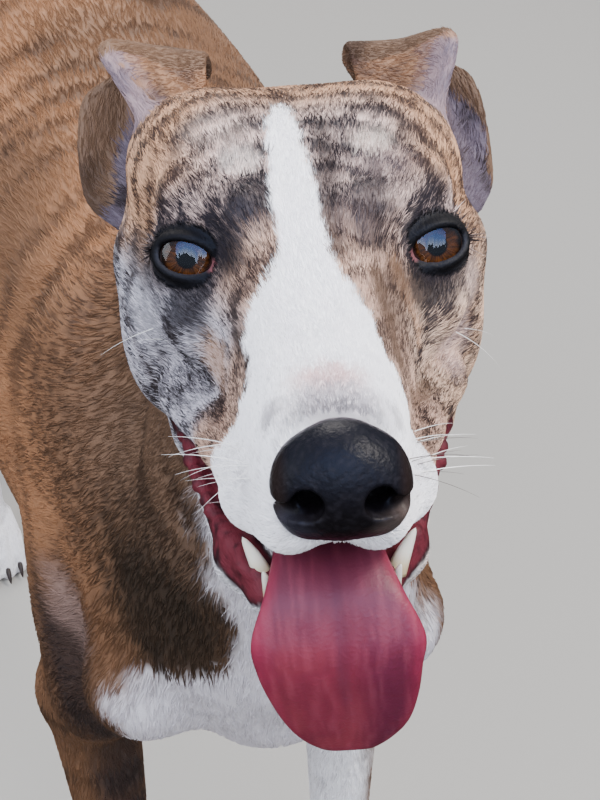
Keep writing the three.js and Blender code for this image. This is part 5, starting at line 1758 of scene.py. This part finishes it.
hair_grain = grain("hair grain", (1, 0.16, 1), 1500)
pebble_grain = grain("pebble grain", (1, 1, 1), 900)
material("skin", [skin], hair_grain, 0.0006, Roughness=0.6, Specular_IOR_Level=0.3)
material("coat", coat, Roughness=0.58, Specular_IOR_Level=0.22)
material("nose leather", [nose], pebble_grain, 0.0004, Roughness=0.42, Specular_IOR_Level=0.17)
material("tongue", [tongue], pebble_grain, 0.0003, Roughness=0.48, Specular_IOR_Level=0.4,
         Subsurface_Weight=0.12, Subsurface_Scale=0.003, Subsurface_Radius=(1.0, 0.35, 0.25))
material("eye", eyes.values(), Roughness=0.7, Specular_IOR_Level=0.0)
material("enamel", [teeth], Roughness=0.28, Specular_IOR_Level=0.5, Subsurface_Weight=0.1,
         Subsurface_Scale=0.002)
material("horn", [claws], colour=tone(48, 38, 34), Roughness=0.38)
material("feelers", Roughness=0.4)

# the cornea is clear, and its outer side shines as a wet surface does
tree, shader = material("cornea", corneas.values(), colour=(1, 1, 1), Roughness=0.02, Metallic=1.0)
clear = new_node(tree, "ShaderNodeBsdfTransparent")
shine = new_node(tree, "ShaderNodeFresnel", {"IOR": 1.8})
inner = new_node(tree, "ShaderNodeNewGeometry").outputs["Backfacing"]
outer = new_node(tree, "ShaderNodeMath", {0: 1, 1: inner}, operation="SUBTRACT")
share = new_node(tree, "ShaderNodeMath", {0: shine.outputs[0], 1: outer.outputs[0]}, operation="MULTIPLY")
parts = {0: share.outputs[0], 1: clear.outputs[0], 2: shader.outputs[0]}
mixed = new_node(tree, "ShaderNodeMixShader", parts)
tree.links.new(mixed.outputs[0], tree.nodes["Material Output"].inputs["Surface"])

# %% [markdown]
# ## What stands for what
# One skin takes the place of all the solids of flesh. The eyes, nose, tongue and claws each stand for
# their own solids, and the coat rides with the skin.

# %% Ties to the frame
belongs(skin, FLESH)
for piece in coat:
    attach(piece, "root")
belongs(nose, ["nose"])
belongs(tongue, ["tongue"])
for name, side in zip(SIDES, (1, -1)):
    belongs(eyes[side], [f"eye_{name}"])
    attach(corneas[side], "root")
belongs(claws, claw_nodes)
for piece in (teeth, whiskers):
    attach(piece, "root")

# %% [markdown]
# ## Floor, light and camera
# A plain pale floor, one broad soft light from the front like an open sky, a weaker one from each side, and
# a camera half a metre in front of the eyes that looks down at forty degrees.

# %% Floor and lights
FLOOR = 60.0
SKY_STRENGTH = 0.4
floor_mesh = bpy.data.meshes.new("floor")
floor_mesh.from_pydata([(-FLOOR, -FLOOR, 0), (FLOOR, -FLOOR, 0), (FLOOR, FLOOR, 0), (-FLOOR, FLOOR, 0)], [],
                       [(0, 1, 2, 3)])
floor = bpy.data.objects.new("floor", floor_mesh)
bpy.context.collection.objects.link(floor)
material("floor", [floor], colour=tone(178, 174, 168), Roughness=0.9)

world = bpy.data.worlds.new("studio")
bpy.context.scene.world = world
world.use_nodes = True
sky = world.node_tree
place = new_node(sky, "ShaderNodeTexCoord").outputs["Generated"]
height = new_node(sky, "ShaderNodeSeparateXYZ", {0: place}).outputs["Z"]
half = new_node(sky, "ShaderNodeMath", {0: height, 1: 0.5, 2: 0.5}, operation="MULTIPLY_ADD")
bands = new_node(sky, "ShaderNodeValToRGB", {0: half.outputs[0]})
ends = bands.color_ramp.elements
ends[0].position, ends[0].color = 0.46, (0.10, 0.09, 0.08, 1)
ends[1].position, ends[1].color = 0.66, (0.55, 0.68, 0.92, 1)
ends.new(0.5).color = (0.22, 0.25, 0.31, 1)
background = sky.nodes["Background"]
background.inputs["Strength"].default_value = SKY_STRENGTH
sky.links.new(bands.outputs[0], background.inputs["Color"])


def soft_light(name, place, target, size, watts, colour):
    data = bpy.data.lights.new(name, "AREA")
    data.shape = "RECTANGLE"
    data.size, data.size_y = size
    data.energy = watts
    data.color = colour
    lamp = bpy.data.objects.new(name, data)
    lamp.location = place
    lamp.rotation_euler = (Vector(target) - Vector(place)).to_track_quat("-Z", "Y").to_euler()
    bpy.context.collection.objects.link(lamp)
    return lamp


HEAD_SPOT = (-0.03, -0.42, 0.84)
sky_light = soft_light("sky", (-0.28, -1.08, 2.28), HEAD_SPOT, (4.2, 2.0), 150, (0.86, 0.92, 1.0))
sky_light.visible_glossy = False
soft_light("sun", (1.3, -0.6, 2.5), HEAD_SPOT, (0.4, 0.4), 44, (1.0, 0.92, 0.82))
soft_light("fill", (-2.2, 0.4, 1.5), (0, 0, 0.5), (1.6, 1.2), 9, (0.92, 0.95, 1.0))
soft_light("back", (0.6, 2.6, 2.4), (0, 0.1, 0.5), (1.6, 1.2), 60, (1.0, 0.93, 0.86))

# what the eyes reflect: an open sky, deep blue above and pale over a ragged dark skyline
CARD_AT, CARD_WIDE, CARD_TOP, CARD_LOW, CARD_STEPS = Vector((-0.30, -1.22, 2.05)), 2.9, 0.85, -1.0, 48
card_turn = (Vector(HEAD_SPOT) - CARD_AT).to_track_quat("-Z", "Y")
x = np.linspace(-0.5, 0.5, CARD_STEPS + 1)
edge = CARD_TOP * np.sqrt(1 - (1.7 * np.abs(x)) ** 2)
across = np.stack([x, 0 * x, 0 * x])
skyline = CARD_LOW + 0.55 * noise(across * 9, 1.0, 5) + 0.3 * noise(across * 40, 1.0, 6)
heights = np.array([skyline + (edge - skyline) * share for share in (0, 0.35, 1)])
local = np.stack([np.tile(x * CARD_WIDE, 3), heights.ravel(), np.zeros(heights.size)], 1)
corners_at = [tuple(card_turn @ Vector(v) + CARD_AT) for v in local]
turn = CARD_STEPS + 1
quads = [(k * turn + i, k * turn + i + 1, (k + 1) * turn + i + 1, (k + 1) * turn + i)
         for k in range(2) for i in range(CARD_STEPS)]
card_mesh = bpy.data.meshes.new("sky card")
card_mesh.from_pydata(corners_at, [], quads)
glow = np.repeat([(2.6, 3.1, 4.2, 1), (0.9, 1.5, 3.3, 1), (0.3, 0.6, 1.8, 1)], turn, 0)
card_mesh.attributes.new("glow", "FLOAT_COLOR", "POINT").data.foreach_set("color", glow.ravel())
card = bpy.data.objects.new("sky card", card_mesh)
bpy.context.collection.objects.link(card)
tree, shader = material("sky card", [card], colour=(0, 0, 0))
tree.nodes.remove(shader)
shown = new_node(tree, "ShaderNodeAttribute", attribute_name="glow").outputs["Color"]
lit = new_node(tree, "ShaderNodeEmission", {"Color": shown})
tree.links.new(lit.outputs[0], tree.nodes["Material Output"].inputs["Surface"])
card.visible_camera = False
card.visible_diffuse = False
card.visible_shadow = False
floor.visible_glossy = False

# %% Camera
CAMERA_AZIMUTH, CAMERA_ELEVATION = np.radians(-19), np.radians(40)
FOCAL = 1692
PICTURE = (600, 800)
EYES_AT = Vector((-0.032, -0.4176, 0.850))
EYES_IN_PICTURE = (-11, -152)
DISTANCE = 0.505
level, high = np.cos(CAMERA_ELEVATION), np.sin(CAMERA_ELEVATION)
right = Vector((np.cos(CAMERA_AZIMUTH), np.sin(CAMERA_AZIMUTH), 0))
back = Vector((right.y * level, -right.x * level, high))
ahead = -back
above = right.cross(ahead)
ray = (ahead - right * (EYES_IN_PICTURE[0] / FOCAL) - above * (EYES_IN_PICTURE[1] / FOCAL)).normalized()
camera_data = bpy.data.cameras.new("camera")
camera_data.sensor_width = 36
camera_data.lens = FOCAL / PICTURE[1] * 36
camera_data.clip_start = 0.01
camera = bpy.data.objects.new("camera", camera_data)
camera.location = EYES_AT - ray * DISTANCE
camera.rotation_euler = ahead.to_track_quat("-Z", "Y").to_euler()
bpy.context.collection.objects.link(camera)
bpy.context.scene.camera = camera
print("camera", [round(v, 3) for v in camera.location])
